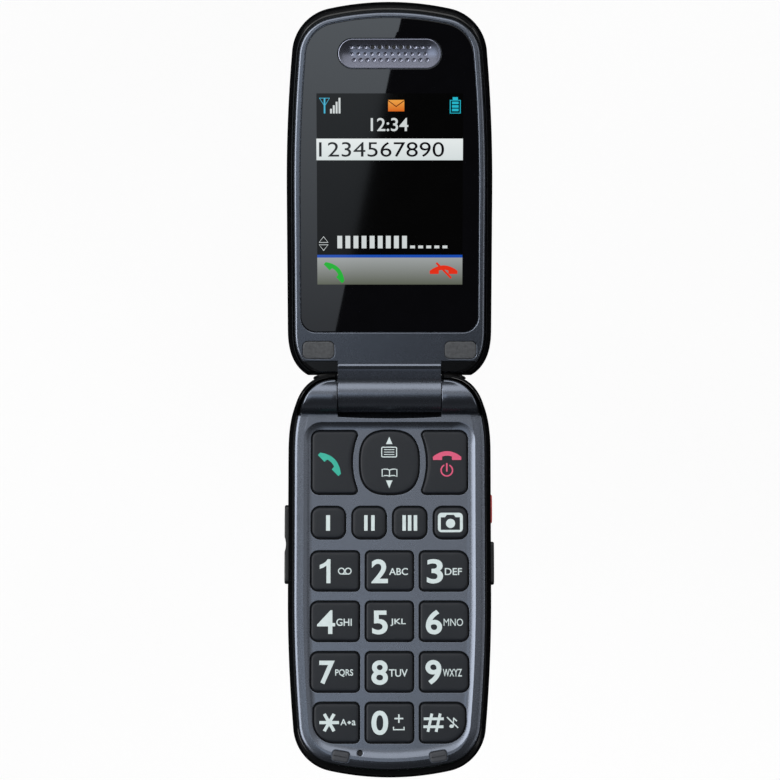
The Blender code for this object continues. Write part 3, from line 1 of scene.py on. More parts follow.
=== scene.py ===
"""Open clamshell phone: its looks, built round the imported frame.

Shapes are worked out in millimetres. The base uses (across, distance from the hinge
axis towards the keypad's end, up); the lid uses (across, distance from the hinge axis
along the lid, out of its window side). Each mesh is put into the frame's metres as it
is made.
"""

from __future__ import annotations

import json
import logging
import math
from collections.abc import Callable, Sequence
from dataclasses import dataclass, field
from enum import Enum
from functools import partial

import bmesh
import bpy
import numpy as np
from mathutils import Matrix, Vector
from mathutils.geometry import tessellate_polygon

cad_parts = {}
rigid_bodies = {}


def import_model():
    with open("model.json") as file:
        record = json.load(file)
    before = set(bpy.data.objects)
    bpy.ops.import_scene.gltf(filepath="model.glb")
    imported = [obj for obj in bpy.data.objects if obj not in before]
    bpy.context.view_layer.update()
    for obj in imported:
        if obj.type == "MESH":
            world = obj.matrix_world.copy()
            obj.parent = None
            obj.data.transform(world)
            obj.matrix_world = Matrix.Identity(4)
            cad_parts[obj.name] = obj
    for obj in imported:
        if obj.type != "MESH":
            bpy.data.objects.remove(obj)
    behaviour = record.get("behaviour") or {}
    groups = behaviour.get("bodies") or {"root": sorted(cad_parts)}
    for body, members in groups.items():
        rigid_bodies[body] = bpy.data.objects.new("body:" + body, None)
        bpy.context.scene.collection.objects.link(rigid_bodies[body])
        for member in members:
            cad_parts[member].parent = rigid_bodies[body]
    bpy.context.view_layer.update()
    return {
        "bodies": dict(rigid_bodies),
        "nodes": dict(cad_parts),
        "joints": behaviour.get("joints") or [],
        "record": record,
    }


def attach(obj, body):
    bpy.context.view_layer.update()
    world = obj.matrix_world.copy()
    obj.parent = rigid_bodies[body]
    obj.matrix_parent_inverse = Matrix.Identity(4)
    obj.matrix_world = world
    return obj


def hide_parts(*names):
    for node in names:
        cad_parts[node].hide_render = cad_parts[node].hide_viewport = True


LOG = logging.getLogger("phone")
Array = np.ndarray
Pair = tuple[float, float]
Rows = Sequence[Pair] | Array
Colour = tuple[float, float, float]
Ring = Callable[[float], Array]
MM = 0.001


class Half(Enum):
    """Which half of the phone a shape is measured on."""

    BASE = "base"
    LID = "lid"


@dataclass(frozen=True)
class Hinge:
    """Where the hinge axis is, and how far the open lid is tilted up from flat."""

    y: float = 45.15
    height: float = 11.7
    tilt: float = math.radians(15)

    def place(self, points: Array, half: Half) -> Array:
        """Put points of one half into the frame.

        Args:
            points: Rows of (across, along, up) in millimetres.
            half: The half that they are measured on.

        Returns:
            Rows of x, y, z in metres: on the base y is the axis less the distance; on
            the lid the along and up values are turned about the axis by the tilt.
        """
        x, along, up = points[..., 0], points[..., 1], points[..., 2]
        if half is Half.BASE:
            return np.stack([x, self.y - along, up], axis=-1) * MM
        cosine, sine = math.cos(self.tilt), math.sin(self.tilt)
        y = self.y + along * cosine - up * sine
        z = self.height + along * sine + up * cosine
        return np.stack([x, y, z], axis=-1) * MM


HINGE = Hinge()
BASE_REACH = 95.4
LID_REACH = 96.25
SHOULDER = (12.5, 20.1)
SHOULDER_MIDDLE = 13.0
SHOULDER_START = 15.0
SHOULDER_POWER = 2.5


def arc(
    centre: Pair,
    radii: Pair,
    start: float,
    end: float,
    steps: int,
    power: float = 2.0,
) -> Array:
    """Superellipse arc: centre plus radii times cosine and sine, each to the power 2/power.

    Args:
        centre: Middle of the curve.
        radii: Half-widths across and along.
        start: First angle.
        end: Last angle.
        steps: Number of segments.
        power: 2 gives an ellipse, more gives a squarer curve.

    Returns:
        Points as (steps + 1, 2).
    """
    turn = np.linspace(start, end, steps + 1)
    cosine, sine = np.cos(turn), np.sin(turn)
    x = np.sign(cosine) * np.abs(cosine) ** (2 / power)
    y = np.sign(sine) * np.abs(sine) ** (2 / power)
    return np.stack([centre[0] + radii[0] * x, centre[1] + radii[1] * y], axis=1)


def rounded_box(
    half_x: float,
    half_y: float,
    corners: Sequence[float],
    steps: int = 8,
    centre: Pair = (0.0, 0.0),
) -> Array:
    """Rectangle with four quarter-circle corners, counter-clockwise from the first quadrant.

    Args:
        half_x: Half-width.
        half_y: Half-height.
        corners: One radius for all corners, or four.
        steps: Segments in each corner.
        centre: Middle.

    Returns:
        Points as (4 * (steps + 1), 2).
    """
    radii = list(corners) if len(corners) == 4 else [corners[0]] * 4
    parts = []
    for index, (sign_x, sign_y) in enumerate(((1, 1), (-1, 1), (-1, -1), (1, -1))):
        radius = radii[index]
        middle = (centre[0] + sign_x * (half_x - radius), centre[1] + sign_y * (half_y - radius))
        start = index * math.pi / 2
        parts.append(arc(middle, (radius, radius), start, start + math.pi / 2, steps))
    return np.concatenate(parts)


def resample(points: Array, count: int) -> Array:
    """Closed outline with its points spread evenly by length, read off straight segments."""
    closed = np.vstack([points, points[:1]])
    length = np.concatenate([[0.0], np.cumsum(np.linalg.norm(np.diff(closed, axis=0), axis=1))])
    at = np.linspace(0.0, length[-1], count, endpoint=False)
    return np.stack([np.interp(at, length, closed[:, axis]) for axis in (0, 1)], axis=1)


def smooth(points: Sequence[Pair], steps: int = 4) -> Array:
    """Catmull-Rom curve: a cubic between each two points, its slopes from their neighbours.

    Args:
        points: Points that the curve passes through.
        steps: Segments between two points.

    Returns:
        Points of the curve, both ends included.
    """
    knots = np.array(points, float)
    ends = (2 * knots[0] - knots[1], 2 * knots[-1] - knots[-2])
    knots = np.vstack([ends[0], knots, ends[1]])
    before, first, second, after = (knots[i : len(knots) - 3 + i] for i in range(4))
    t = np.linspace(0.0, 1.0, steps, endpoint=False)[None, :, None]
    a, b, c, d = (k[:, None, :] for k in (before, first, second, after))
    curve = 0.5 * (2 * b + (c - a) * t + (2 * a - 5 * b + 4 * c - d) * t**2
                   + (3 * b - a - 3 * c + d) * t**3)
    return np.vstack([curve.reshape(-1, 2), knots[-2:-1]])


@dataclass(frozen=True)
class Plan:
    """Outline that both halves share: an end arc, corner arcs, bowed sides and shoulders."""

    reach: float
    start: float
    shoulder: Pair
    power: float = 2.0
    half_width: float = 25.5
    end_radius: float = 70.0
    corner_radius: float = 11.5
    side_radius: float = 374.0
    straight_end: float = 50.0
    counts: tuple[int, int, int, int] = (14, 24, 12, 34)

    def corner(self) -> Pair:
        """Middle of the corner arc: where circles inside the end arc and the side arc meet."""
        end = (0.0, self.reach - self.end_radius)
        side = (self.half_width - self.side_radius, self.straight_end)
        first = self.end_radius - self.corner_radius
        second = self.side_radius - self.corner_radius
        dx, dy = side[0] - end[0], side[1] - end[1]
        gap = math.hypot(dx, dy)
        along = (gap**2 + first**2 - second**2) / (2 * gap)
        across = math.sqrt(first**2 - along**2)
        foot = (end[0] + along * dx / gap, end[1] + along * dy / gap)
        return max((foot[0] - s * across * dy / gap, foot[1] + s * across * dx / gap) for s in (1, -1))

    def ring(self, inset: float) -> Array:
        """Closed outline taken in by an inset: the four curves of one side, then their mirror.

        Args:
            inset: Distance in from the widest line.

        Returns:
            Points as (across, along).
        """
        end = (0.0, self.reach - self.end_radius)
        side = (self.half_width - self.side_radius, self.straight_end)
        corner = self.corner()
        from_end = math.atan2(corner[1] - end[1], corner[0] - end[0])
        from_side = math.atan2(corner[1] - side[1], corner[0] - side[0])
        radii = [r - inset for r in (self.end_radius, self.corner_radius, self.side_radius)]
        shoulder = (self.shoulder[0], self.shoulder[1])
        middle = (self.half_width - inset - shoulder[0], self.start + shoulder[1])
        right = np.concatenate([
            arc(end, (radii[0],) * 2, math.pi / 2, from_end, self.counts[0]),
            arc(corner, (radii[1],) * 2, from_end, from_side, self.counts[1])[1:],
            arc(side, (radii[2],) * 2, from_side, 0.0, self.counts[2])[1:],
            arc(middle, shoulder, 0.0, -math.pi / 2, self.counts[3], self.power),
        ])
        left = right[:0:-1] * (-1, 1)
        return np.concatenate([right, left])


def base_ring(inset: float, margin: float = 0.0) -> Array:
    """Outline of the base at an inset, shoulders and all; a margin draws its far end in."""
    shoulder = (SHOULDER[0] - inset, SHOULDER[1] - inset)
    return Plan(BASE_REACH - margin, inset - 5.1, shoulder, SHOULDER_POWER).ring(inset)


def base_area(inset: float, start: float, corner: float, end_margin: float) -> Array:
    """Outline that follows the base's sides but starts square below the hinge."""
    return Plan(BASE_REACH - end_margin, start, (corner, corner)).ring(inset)


def lid_ring(inset: float, margin: float = 0.0) -> Array:
    """Outline of the lid at an inset, with its rounded chin; a margin draws its far end in."""
    shoulder = (SHOULDER[0] - inset, 13.6 - inset)
    return Plan(LID_REACH - margin, 2.4 + inset, shoulder, 2.6).ring(inset)


def ramp(value: float, low: float, high: float) -> float:
    """Share of the way from one value to another, held between nought and one."""
    return min(max((value - low) / (high - low), 0.0), 1.0)


def lid_area(inset: float, start: float, corner: float, end_margin: float) -> Array:
    """Outline that follows the lid's sides but starts square near the hinge."""
    return Plan(96.5 - end_margin, start, (corner, corner)).ring(inset)


def level(points: Array, height: float | Array) -> Array:
    """Plan points lifted to one height, or to one height each."""
    return np.column_stack([points, np.broadcast_to(height, len(points))])


def swept(ring: Ring, profile: Rows) -> Array:
    """Profile carried round a plan: each (inset, height) pair gives the ring at that inset."""
    return np.stack([level(ring(inset), height) for inset, height in profile])


def turned(profile: Rows, centre: Pair, count: int = 64) -> Array:
    """Profile turned about an upright line: each (radius, height) pair gives a circle."""
    around = np.linspace(0.0, 2 * math.pi, count, endpoint=False)
    unit = np.stack([np.cos(around), np.sin(around)], axis=1)
    return np.stack([level(unit * radius + centre, height) for radius, height in profile])


def prism(outline: Array, low: float, high: float) -> Array:
    """Rings of an upright prism over an outline, between two heights."""
    return np.stack([level(outline, low), level(outline, high)])


def crosswise(section: Array, start: float, end: float) -> Array:
    """Rings of a prism that lies across the phone, over a section seen from the side."""
    return np.stack([np.column_stack([np.full(len(section), x), section]) for x in (start, end)])


def rotated(points: Array, angle: float) -> Array:
    """Plan points turned counter-clockwise about the origin."""
    cosine, sine = math.cos(angle), math.sin(angle)
    x, y = points[:, 0], points[:, 1]
    return np.stack([x * cosine - y * sine, x * sine + y * cosine], axis=1)


def circle(centre: Pair, radius: float, steps: int) -> Array:
    """Closed circle of a plan."""
    return arc(centre, (radius, radius), 0, 2 * math.pi, steps)[:-1]


def bar(x0: float, y0: float, x1: float, y1: float) -> Array:
    """Rectangle by two corners."""
    return np.array([(x0, y0), (x1, y0), (x1, y1), (x0, y1)])


@dataclass(frozen=True)
class Box:
    """Rounded box of a plan: half sizes, corner radius and middle."""

    half: Pair
    corner: float
    centre: Pair = (0.0, 0.0)

    def outline(self, margin: float = 0.0, steps: int = 8) -> Array:
        """Outline grown by a margin on every side."""
        half_x, half_y = self.half[0] + margin, self.half[1] + margin
        return rounded_box(half_x, half_y, (self.corner + margin,), steps, self.centre)

    def rings(self, rows: Rows, steps: int = 8) -> Array:
        """Outline at each (margin, height) pair."""
        return np.stack([level(self.outline(margin, steps), height) for margin, height in rows])


BATTERY_SPACE = Box((17.25, 25.25), 1.45, (0.0, 58.0))
BATTERY_WELL = Box((18.25, 26.25), 2.45, (0.0, 58.0))
DOOR = Box((19.5, 29.25), 4.0, (0.0, 58.25))
EARPIECE = Box((12.5, 3.55), 3.549, (0.0, 83.8))
EARPIECE_SLOT = Box((10.9, 1.95), 1.949, (0.0, 83.8))
DISPLAY_OPENING = Box((18.55, 23.95), 0.5, (0.0, 50.65))
OUTER_WINDOW = Box((16.5, 9.5), 3.0, (0.0, 35.0))
OUTER_OPENING = Box((14.0, 7.5), 0.5, (0.0, 35.0))
PADS = {side: Box((3.9, 2.15), 1.3, (side * 17.7, 10.75)) for side in (-1, 1)}
BUMPER = Box((2.1, 1.3), 0.7)
BUMPER_PLACE = (12.05, 89.8)
MICROPHONE_PLACE = (-7.28, 89.1)
CAMERA_PLACE = (0.0, 17.5)
CAMERA_RADIUS = 4.2
SCREWS = (("left", (-18.5, 2.2), 9.0), ("right", (18.5, 2.2), 9.0), ("end", (0.0, 91.2), 9.4))


class Form:
    """Closed surfaces gathered in millimetres on one half, then made into a mesh."""

    def __init__(self, half: Half) -> None:
        """Start with nothing on the given half."""
        self.half = half
        self.points: list[Array] = []
        self.faces: list[list[int]] = []
        self.count = 0

    def add(self, points: Array, faces: list[list[int]]) -> Form:
        """Add points and faces that number them from nought."""
        self.points.append(points.reshape(-1, 3))
        self.faces += [[index + self.count for index in face] for face in faces]
        self.count += len(self.points[-1])
        return self

    def loft(self, rings: Array, caps: bool = True, loop: bool = False) -> Form:
        """Quads between rings of one count, each ring closed on itself.

        Args:
            rings: Points as (rings, points, 3).
            caps: Close the first and last rings with one face each.
            loop: Join the last ring to the first instead.

        Returns:
            This form.
        """
        rows, count = rings.shape[:2]
        index = np.arange(rows * count).reshape(rows, count)
        upper = np.roll(index, -1, axis=0) if loop else index[1:]
        lower = index if loop else index[:-1]
        quads = np.stack([lower, np.roll(lower, -1, axis=1), np.roll(upper, -1, axis=1), upper], axis=-1)
        faces = quads.reshape(-1, 4).tolist()
        if caps and not loop:
            faces += [index[0][::-1].tolist(), index[-1].tolist()]
        return self.add(rings, faces)

    def plate(self, loops: Sequence[Array], low: float | Array, high: float | Array) -> Form:
        """Flat plate between two heights, from an outline and the outlines of its holes.

        Args:
            loops: Outlines as (points, 2); all but the first are holes.
            low: Height of the underside.
            high: Height of the top, one value or one for each point.

        Returns:
            This form.
        """
        flat = np.concatenate(loops)
        total = len(flat)
        triangles = tessellate_polygon([[Vector((*p, 0.0)) for p in loop] for loop in loops])
        faces = [list(t) for t in triangles] + [[i + total for i in reversed(t)] for t in triangles]
        offset = 0
        for loop in loops:
            here = np.arange(len(loop)) + offset
            after = np.roll(here, -1)
            faces += np.stack([here, after, after + total, here + total], axis=1).tolist()
            offset += len(loop)
        return self.add(np.concatenate([level(flat, high), level(flat, low)]), faces)

    def mesh(self, name: str) -> bpy.types.Object:
        """Object made of all surfaces so far, in the frame's metres, faces outwards."""
        data = bpy.data.meshes.new(name)
        data.from_pydata(HINGE.place(np.concatenate(self.points), self.half).tolist(), [], self.faces)
        work = bmesh.new()
        work.from_mesh(data)
        bmesh.ops.recalc_face_normals(work, faces=work.faces)
        work.to_mesh(data)
        work.free()
        return new_object(name, data)


def new_object(name: str, data: bpy.types.ID) -> bpy.types.Object:
    """Object of some data, linked to the scene."""
    item = bpy.data.objects.new(name, data)
    bpy.context.scene.collection.objects.link(item)
    return item


def bake(item: bpy.types.Object) -> bpy.types.Object:
    """Give an object the mesh that its modifiers make, and drop them."""
    graph = bpy.context.evaluated_depsgraph_get()
    made = item.evaluated_get(graph)
    data = bpy.data.meshes.new_from_object(made, preserve_all_data_layers=True, depsgraph=graph)
    item.modifiers.clear()
    item.data = data
    return item


def carve(item: bpy.types.Object, mode: str, *tools: bpy.types.Object) -> bpy.types.Object:
    """Exact Booleans with each tool in turn, closed with a fine weld; the tools are removed.

    Args:
        item: What is changed.
        mode: UNION, DIFFERENCE or INTERSECT.
        *tools: Closed meshes.

    Returns:
        The changed object.
    """
    for tool in tools:
        step = item.modifiers.new("cut", "BOOLEAN")
        step.operation, step.solver, step.object = mode, "EXACT", tool
        weld = item.modifiers.new("weld", "WELD")
        weld.merge_threshold = 2e-6
    bake(item)
    work = bmesh.new()
    work.from_mesh(item.data)
    bmesh.ops.holes_fill(work, edges=[edge for edge in work.edges if edge.is_boundary], sides=0)
    work.to_mesh(item.data)
    work.free()
    for tool in tools:
        bpy.data.objects.remove(tool, do_unlink=True)
    return item


def shade(item: bpy.types.Object, angle: float = 32.0) -> bpy.types.Object:
    """Smooth shading with real edges kept, its normals weighted by the size of the faces."""
    item.data.shade_smooth()
    item.data.set_sharp_from_angle(angle=math.radians(angle))
    weighted = item.modifiers.new("weighted", "WEIGHTED_NORMAL")
    weighted.mode, weighted.weight, weighted.keep_sharp = "FACE_AREA", 90, True
    return bake(item)


class Signal:
    """A shader value that takes Python arithmetic; each operation adds one Math node."""

    def __init__(self, graph: Graph, socket: bpy.types.NodeSocket) -> None:
        """Wrap an output socket of a graph."""
        self.graph = graph
        self.socket = socket

    def math(self, operation: str, *others: Signal | float) -> Signal:
        """Math node of one operation on this value and others."""
        values = {index: value for index, value in enumerate((self, *others))}
        return self.graph.node("ShaderNodeMath", {"operation": operation}, values)

    def __add__(self, other: Signal | float) -> Signal:
        """Sum."""
        return self.math("ADD", other)

    def __mul__(self, other: Signal | float) -> Signal:
        """Product."""
        return self.math("MULTIPLY", other)

    def __sub__(self, other: Signal | float) -> Signal:
        """Difference."""
        return self.math("SUBTRACT", other)

    def __rsub__(self, other: float) -> Signal:
        """Number less this value."""
        return self.graph.node("ShaderNodeMath", {"operation": "SUBTRACT"}, {0: other, 1: self})

    def __pow__(self, other: Signal | float) -> Signal:
        """Power."""
        return self.math("POWER", other)

    __radd__ = __add__
    __rmul__ = __mul__

    def clip(self) -> Signal:
        """This value held between 0 and 1."""
        return self.math("MAXIMUM", 0.0).math("MINIMUM", 1.0)

    def step(self, low: float, high: float) -> Signal:
        """Smooth 0-to-1 step between two values."""
        values = {"Value": self, "From Min": low, "From Max": high}
        return self.graph.node("ShaderNodeMapRange", {"interpolation_type": "SMOOTHSTEP"}, values)


Value = Signal | float | Sequence[float]


def fill_ramp(node: bpy.types.Node, stops: Sequence[tuple[float, Colour]]) -> None:
    """Set the (position, colour) stops of a colour ramp."""
    elements = node.color_ramp.elements
    while len(elements) < len(stops):
        elements.new(0.5)
    for element, (position, colour) in zip(elements, stops):
        element.position, element.color = position, (*colour, 1.0)


class Graph:
    """Node tree of one material, built by adding nodes with their settings and inputs."""

    def __init__(self, name: str) -> None:
        """Start a material with its Principled shader."""
        self.material = bpy.data.materials.new(name)
        self.material.use_nodes = True
        self.tree = self.material.node_tree
        self.shader = self.tree.nodes["Principled BSDF"]

    def feed(self, node: bpy.types.Node, inputs: dict[int | str, Value]) -> None:
        """Set or link the named inputs of a node."""
        for key, value in inputs.items():
            if isinstance(value, Signal):
                self.tree.links.new(value.socket, node.inputs[key])
            else:
                node.inputs[key].default_value = value

    def node(
        self, kind: str, settings: dict[str, object] | None = None,
        inputs: dict[int | str, Value] | None = None, output: int | str = 0,
    ) -> Signal:
        """Add a node: settings first, then input values or links.

        Args:
            kind: Node type.
            settings: Attributes; "stops" fills a colour ramp.
            inputs: Values or signals by socket.
            output: Socket that is returned.

        Returns:
            The chosen output.
        """
        node = self.tree.nodes.new(kind)
        for key, value in (settings or {}).items():
            if key == "stops":
                fill_ramp(node, value)
            else:
                setattr(node, key, value)
        self.feed(node, inputs or {})
        return Signal(self, node.outputs[output])

    def place(self, axis: str | None = None) -> Signal:
        """Object coordinates, or one of their axes, in metres."""
        whole = self.node("ShaderNodeTexCoord", output="Object")
        return whole if axis is None else self.node("ShaderNodeSeparateXYZ", None, {0: whole}, axis)

    def noise(self, scale: float, detail: float = 3.0, roughness: float = 0.5) -> Signal:
        """Cloud noise on Object coordinates; scale counts features in a metre."""
        values = {"Vector": self.place(), "Scale": scale, "Detail": detail, "Roughness": roughness}
        return self.node("ShaderNodeTexNoise", None, values, "Fac")

    def cells(self, scale: float, feature: str = "F1") -> Signal:
        """Distance to the nearest of scattered points, or to the line between two."""
        values = {"Vector": self.place(), "Scale": scale}
        return self.node("ShaderNodeTexVoronoi", {"feature": feature}, values, "Distance")

    def blend(self, share: Signal, first: Sequence[float], second: Sequence[float]) -> Signal:
        """Colour between two colours."""
        stops = ((0.0, first), (1.0, second))
        return self.node("ShaderNodeValToRGB", {"stops": stops}, {0: share}, "Color")

    def tones(self, share: Signal, colour: Colour, low: float, high: float) -> Signal:
        """One colour, its channels times low where the share is 0 and times high where it is 1."""
        return self.blend(share, darker(colour, low), darker(colour, high))

    def bump(self, height: Signal, distance: float, strength: float = 1.0) -> Signal:
        """Normal bent by a height, given in units of the distance in metres."""
        values = {"Height": height, "Distance": distance, "Strength": strength}
        return self.node("ShaderNodeBump", None, values, "Normal")

    def finish(self, **inputs: Value) -> bpy.types.Material:
        """Feed the Principled shader; underscores in names stand for spaces."""
        self.feed(self.shader, {key.replace("_", " "): value for key, value in inputs.items()})
        return self.material


def darker(colour: Colour, factor: float) -> Colour:
    """Colour with every channel multiplied."""
    return tuple(channel * factor for channel in colour)


@dataclass(frozen=True)
class Plastic:
    """Moulded or painted plastic: mottled colour, fine grain and faint handling marks."""

    name: str
    colour: Colour
    roughness: float
    metallic: float = 0.0
    mottle: float = 0.12
    grain: float = 0.0
    grain_scale: float = 5000.0
    coat: float = 0.0
    coat_roughness: float = 0.05
    flake: float = 0.0
    specular: float = 0.5

    def material(self) -> bpy.types.Material:
        """Colour from slow noise and flakes, roughness from smudges, normal from grain."""
        graph = Graph(self.name)
        slow = graph.noise(220.0, 4.0, 0.6)
        fine = graph.noise(self.grain_scale, 2.0)
        share = slow * (1 - self.flake) + graph.cells(self.grain_scale * 0.8) * self.flake
        colour = graph.tones(share.clip(), self.colour, 1 - self.mottle, 1 + self.mottle)
        smudge = graph.noise(90.0, 5.0, 0.65)
        rough = (smudge - 0.5) * (0.22 * self.roughness) + fine * 0.03 + (self.roughness - 0.015)
        inputs: dict[str, Value] = {"Base Color": colour, "Roughness": rough.clip(),
                                    "Metallic": self.metallic, "Specular IOR Level": self.specular}
        if self.grain:
            inputs["Normal"] = graph.bump(fine, self.grain * MM)
        if self.coat:
            inputs["Coat Weight"], inputs["Coat Roughness"] = self.coat, self.coat_roughness
        graph.feed(graph.shader, inputs)
        return graph.material


@dataclass(frozen=True)
class Metal:
    """Plain or plated metal with fine drawn lines and a slow change of tone."""

    name: str
    colour: Colour
    roughness: float = 0.3
    lines: float = 0.004
    metallic: float = 1.0

    def material(self) -> bpy.types.Material:
        """Noise stretched along X for the lines; slow noise for tone and roughness."""
        graph = Graph(self.name)
        stretch = graph.node("ShaderNodeMapping", None, {"Vector": graph.place(), "Scale": (0.04, 1.0, 1.0)})
        values = {"Vector": stretch, "Scale": 9000.0, "Detail": 2.0}
        lines = graph.node("ShaderNodeTexNoise", None, values, "Fac")
        tone = graph.noise(300.0, 4.0, 0.6)
        colour = graph.tones(tone, self.colour, 0.82, 1.1)
        rough = tone * 0.12 + lines * 0.08 + (self.roughness - 0.1)
        return graph.finish(Base_Color=colour, Roughness=rough, Metallic=self.metallic,
                            Normal=graph.bump(lines, self.lines * MM))


@dataclass(frozen=True)
class Rubber:
    """Moulded rubber with an eroded, speckled grain, its pits darkened as painted shade."""

    name: str
    colour: Colour
    speckle_and_pit_shade: float = 0.35
    grain_scale: float = 2600.0
    grain: float = 0.03

    def material(self) -> bpy.types.Material:
        """Colour and bump both from coarse noise, so that the pits are darker: painted shade in the pits, over
        the rubber's own speckle.
        """
        graph = Graph(self.name)
        grain = graph.noise(self.grain_scale, 4.0, 0.7)
        share = ((grain - 0.5) * 2.2 + 0.5).clip()
        # painted shade: the colour follows the bump's height, so the grain's pits are darker, on top of the
        # rubber's own speckle
        colour = graph.tones(share, self.colour, 1 - self.speckle_and_pit_shade, 1 + self.speckle_and_pit_shade)
        return graph.finish(Base_Color=colour, Roughness=grain * 0.25 + 0.55,
                            Normal=graph.bump(grain, self.grain * MM))


@dataclass(frozen=True)
class Ink:
    """Printed or moulded-through legend, a little uneven where it was laid on."""

    name: str
    colour: Colour = (0.41, 0.47, 0.47)
    roughness: float = 0.42
    glow: float = 0.0

    def material(self) -> bpy.types.Material:
        """Slow noise lightens and darkens the ink by a few per cent."""
        graph = Graph(self.name)
        cloud = graph.noise(900.0, 4.0, 0.6)
        colour = graph.tones(cloud, self.colour, 0.86, 1.1)
        inputs: dict[str, Value] = {"Base_Color": colour, "Roughness": cloud * 0.2 + (self.roughness - 0.1)}
        if self.glow:
            inputs.update(Emission_Color=colour, Emission_Strength=self.glow)
        return graph.finish(**inputs)


@dataclass(frozen=True)
class Glass:
    """Black-printed window: mirror gloss over a print that is never quite even."""

    name: str
    colour: Colour = (0.0008, 0.0008, 0.0012)
    roughness: float = 0.010
    specular: float = 0.5

    def material(self) -> bpy.types.Material:
        """Faint wiped streaks in the roughness and a slow change in the print."""
        graph = Graph(self.name)
        streaks = graph.noise(60.0, 6.0, 0.6)
        print_tone = graph.noise(250.0, 3.0)
        colour = graph.tones(print_tone, self.colour, 0.7, 1.4)
        rough = streaks.step(0.45, 0.8) * 0.012 + self.roughness
        return graph.finish(Base_Color=colour, Roughness=rough, Specular_IOR_Level=self.specular)


@dataclass(frozen=True)
class Pixels:
    """Lit part of the display: one colour, or a fade along the lid, through a pixel grid."""

    name: str
    colour: Colour
    far_colour: Colour | None = None
    span: Pair = (0.0, 1.0)
    strength: float = 1.0
    pitch: float = 0.18

    def material(self) -> bpy.types.Material:
        """Emission times a product of two cosines that dims the lines between pixels."""
        graph = Graph(self.name)
        turn = 2 * math.pi / (self.pitch * MM)
        across = (graph.place("X") * turn).math("COSINE")
        along = (graph.place("Y") * (turn / math.cos(HINGE.tilt))).math("COSINE")
        grid = across * 0.02 + along * 0.02 + 0.96
        share = (graph.place("Y") * (1 / MM) - HINGE.y) * (1 / math.cos(HINGE.tilt))
        share = (share - self.span[0]) * (1 / (self.span[1] - self.span[0]))
        fade = graph.blend(share.clip(), self.colour, self.far_colour or self.colour)
        lit = graph.node("ShaderNodeVectorMath", {"operation": "SCALE"}, {0: fade, "Scale": grid})
        return graph.finish(Base_Color=darker(self.colour, 0.02) + (1.0,), Roughness=0.05 + grid * 0.01,
                            Specular_IOR_Level=0.2, Emission_Color=lit, Emission_Strength=self.strength)


@dataclass(frozen=True)
class Board:
    """Circuit board: solder mask over etched lines, with rows of bare pads."""

    name: str
    colour: Colour = (0.02, 0.13, 0.06)

    def material(self) -> bpy.types.Material:
        """Lines between scattered cells show as raised copper; small dots are tinned pads."""
        graph = Graph(self.name)
        tracks = 1 - graph.cells(420.0, "DISTANCE_TO_EDGE").step(0.03, 0.06)
        pads = 1 - graph.cells(900.0).step(0.16, 0.2)
        mask = graph.blend(tracks, self.colour, darker(self.colour, 2.4))
        colour = graph.node("ShaderNodeMix", {"data_type": "RGBA"},
                            {0: pads, 6: mask, 7: (0.62, 0.60, 0.55, 1.0)}, 2)
        return graph.finish(Base_Color=colour, Metallic=pads, Roughness=0.42 - pads * 0.12,
                            Normal=graph.bump(tracks + pads, 0.02 * MM))


class Finishes:
    """Every material of the phone, by the name that the pieces use."""

    def __init__(self) -> None:
        """Make the materials once."""
        recipes = (
            Plastic("satin_front", (0.092, 0.103, 0.125), 0.27, 0.95, 0.09, 0.006, 6500.0, flake=0.3),
            Plastic("gloss_black", (0.0012, 0.0013, 0.0016), 0.20, 0.0, 0.25, 0.0, 5000.0, specular=0.34),
            Plastic("key_rubber", (0.0062, 0.0078, 0.0106), 0.46, 0.0, 0.10, 0.010, 7000.0, specular=0.22),
            Plastic("side_key_plastic", (0.004, 0.0043, 0.005), 0.38, 0.0, 0.15, 0.004, 6000.0, specular=0.3),
            Plastic("emergency_red", (0.42, 0.022, 0.018), 0.36, 0.0, 0.08, 0.004, 6000.0, 0.15),
            Rubber("pad_rubber", (0.030, 0.032, 0.035), 0.6, 1500.0, 0.06),
            Rubber("bumper_rubber", (0.016, 0.018, 0.023), 0.18, 5200.0, 0.012),
            Glass("window_black_glass"),
            Glass("outer_black_glass", (0.002, 0.002, 0.0025), 0.03),
            Plastic("screen_glass", (0.0008, 0.0008, 0.0008), 0.045, 0.0, 0.3, specular=0.16),
            Plastic("silver_mesh", (0.155, 0.163, 0.205), 0.21, 0.96, 0.05, 0.0, 5000.0),
            Plastic("grille_hole", (0.002, 0.002, 0.003), 0.7, 0.0, 0.4),
            Plastic("display_black", (0.012, 0.012, 0.014), 0.30),
            Board("board_green"),
            Metal("dome_steel_sheet", (0.60, 0.60, 0.58), 0.35, 0.002, 0.7),
            Rubber("mat_silicone", (0.34, 0.35, 0.36), 0.06, 1400.0, 0.01),
            Plastic("battery_case", (0.045, 0.046, 0.050), 0.46, 0.0, 0.1, 0.01, 4200.0),
            Plastic("door_plastic", (0.0085, 0.0085, 0.010), 0.36, 0.0, 0.15, 0.012, 4200.0),
            Plastic("sounder_black", (0.022, 0.022, 0.024), 0.5, 0.0, 0.2, 0.01),
            Metal("steel", (0.55, 0.55, 0.56)),
            Metal("screw_steel", (0.22, 0.22, 0.23), 0.34, 0.003),
            Metal("antenna_copper", (0.72, 0.42, 0.26), 0.33),
            Metal("contact_gold", (0.80, 0.58, 0.24), 0.24, 0.002),
            Ink("legend_white"),
            Ink("legend_teal", (0.004, 0.27, 0.195)),
            Ink("legend_pink", (0.45, 0.045, 0.11)),
            Ink("side_mark_white", (0.55, 0.58, 0.60)),
        )
        self.made = {recipe.name: recipe.material() for recipe in recipes}

    def __getitem__(self, name: str) -> bpy.types.Material:
        """Material by name."""
        return self.made[name]

    def add(self, recipe: Pixels) -> None:
        """Make one more material."""
        self.made[recipe.name] = recipe.material()


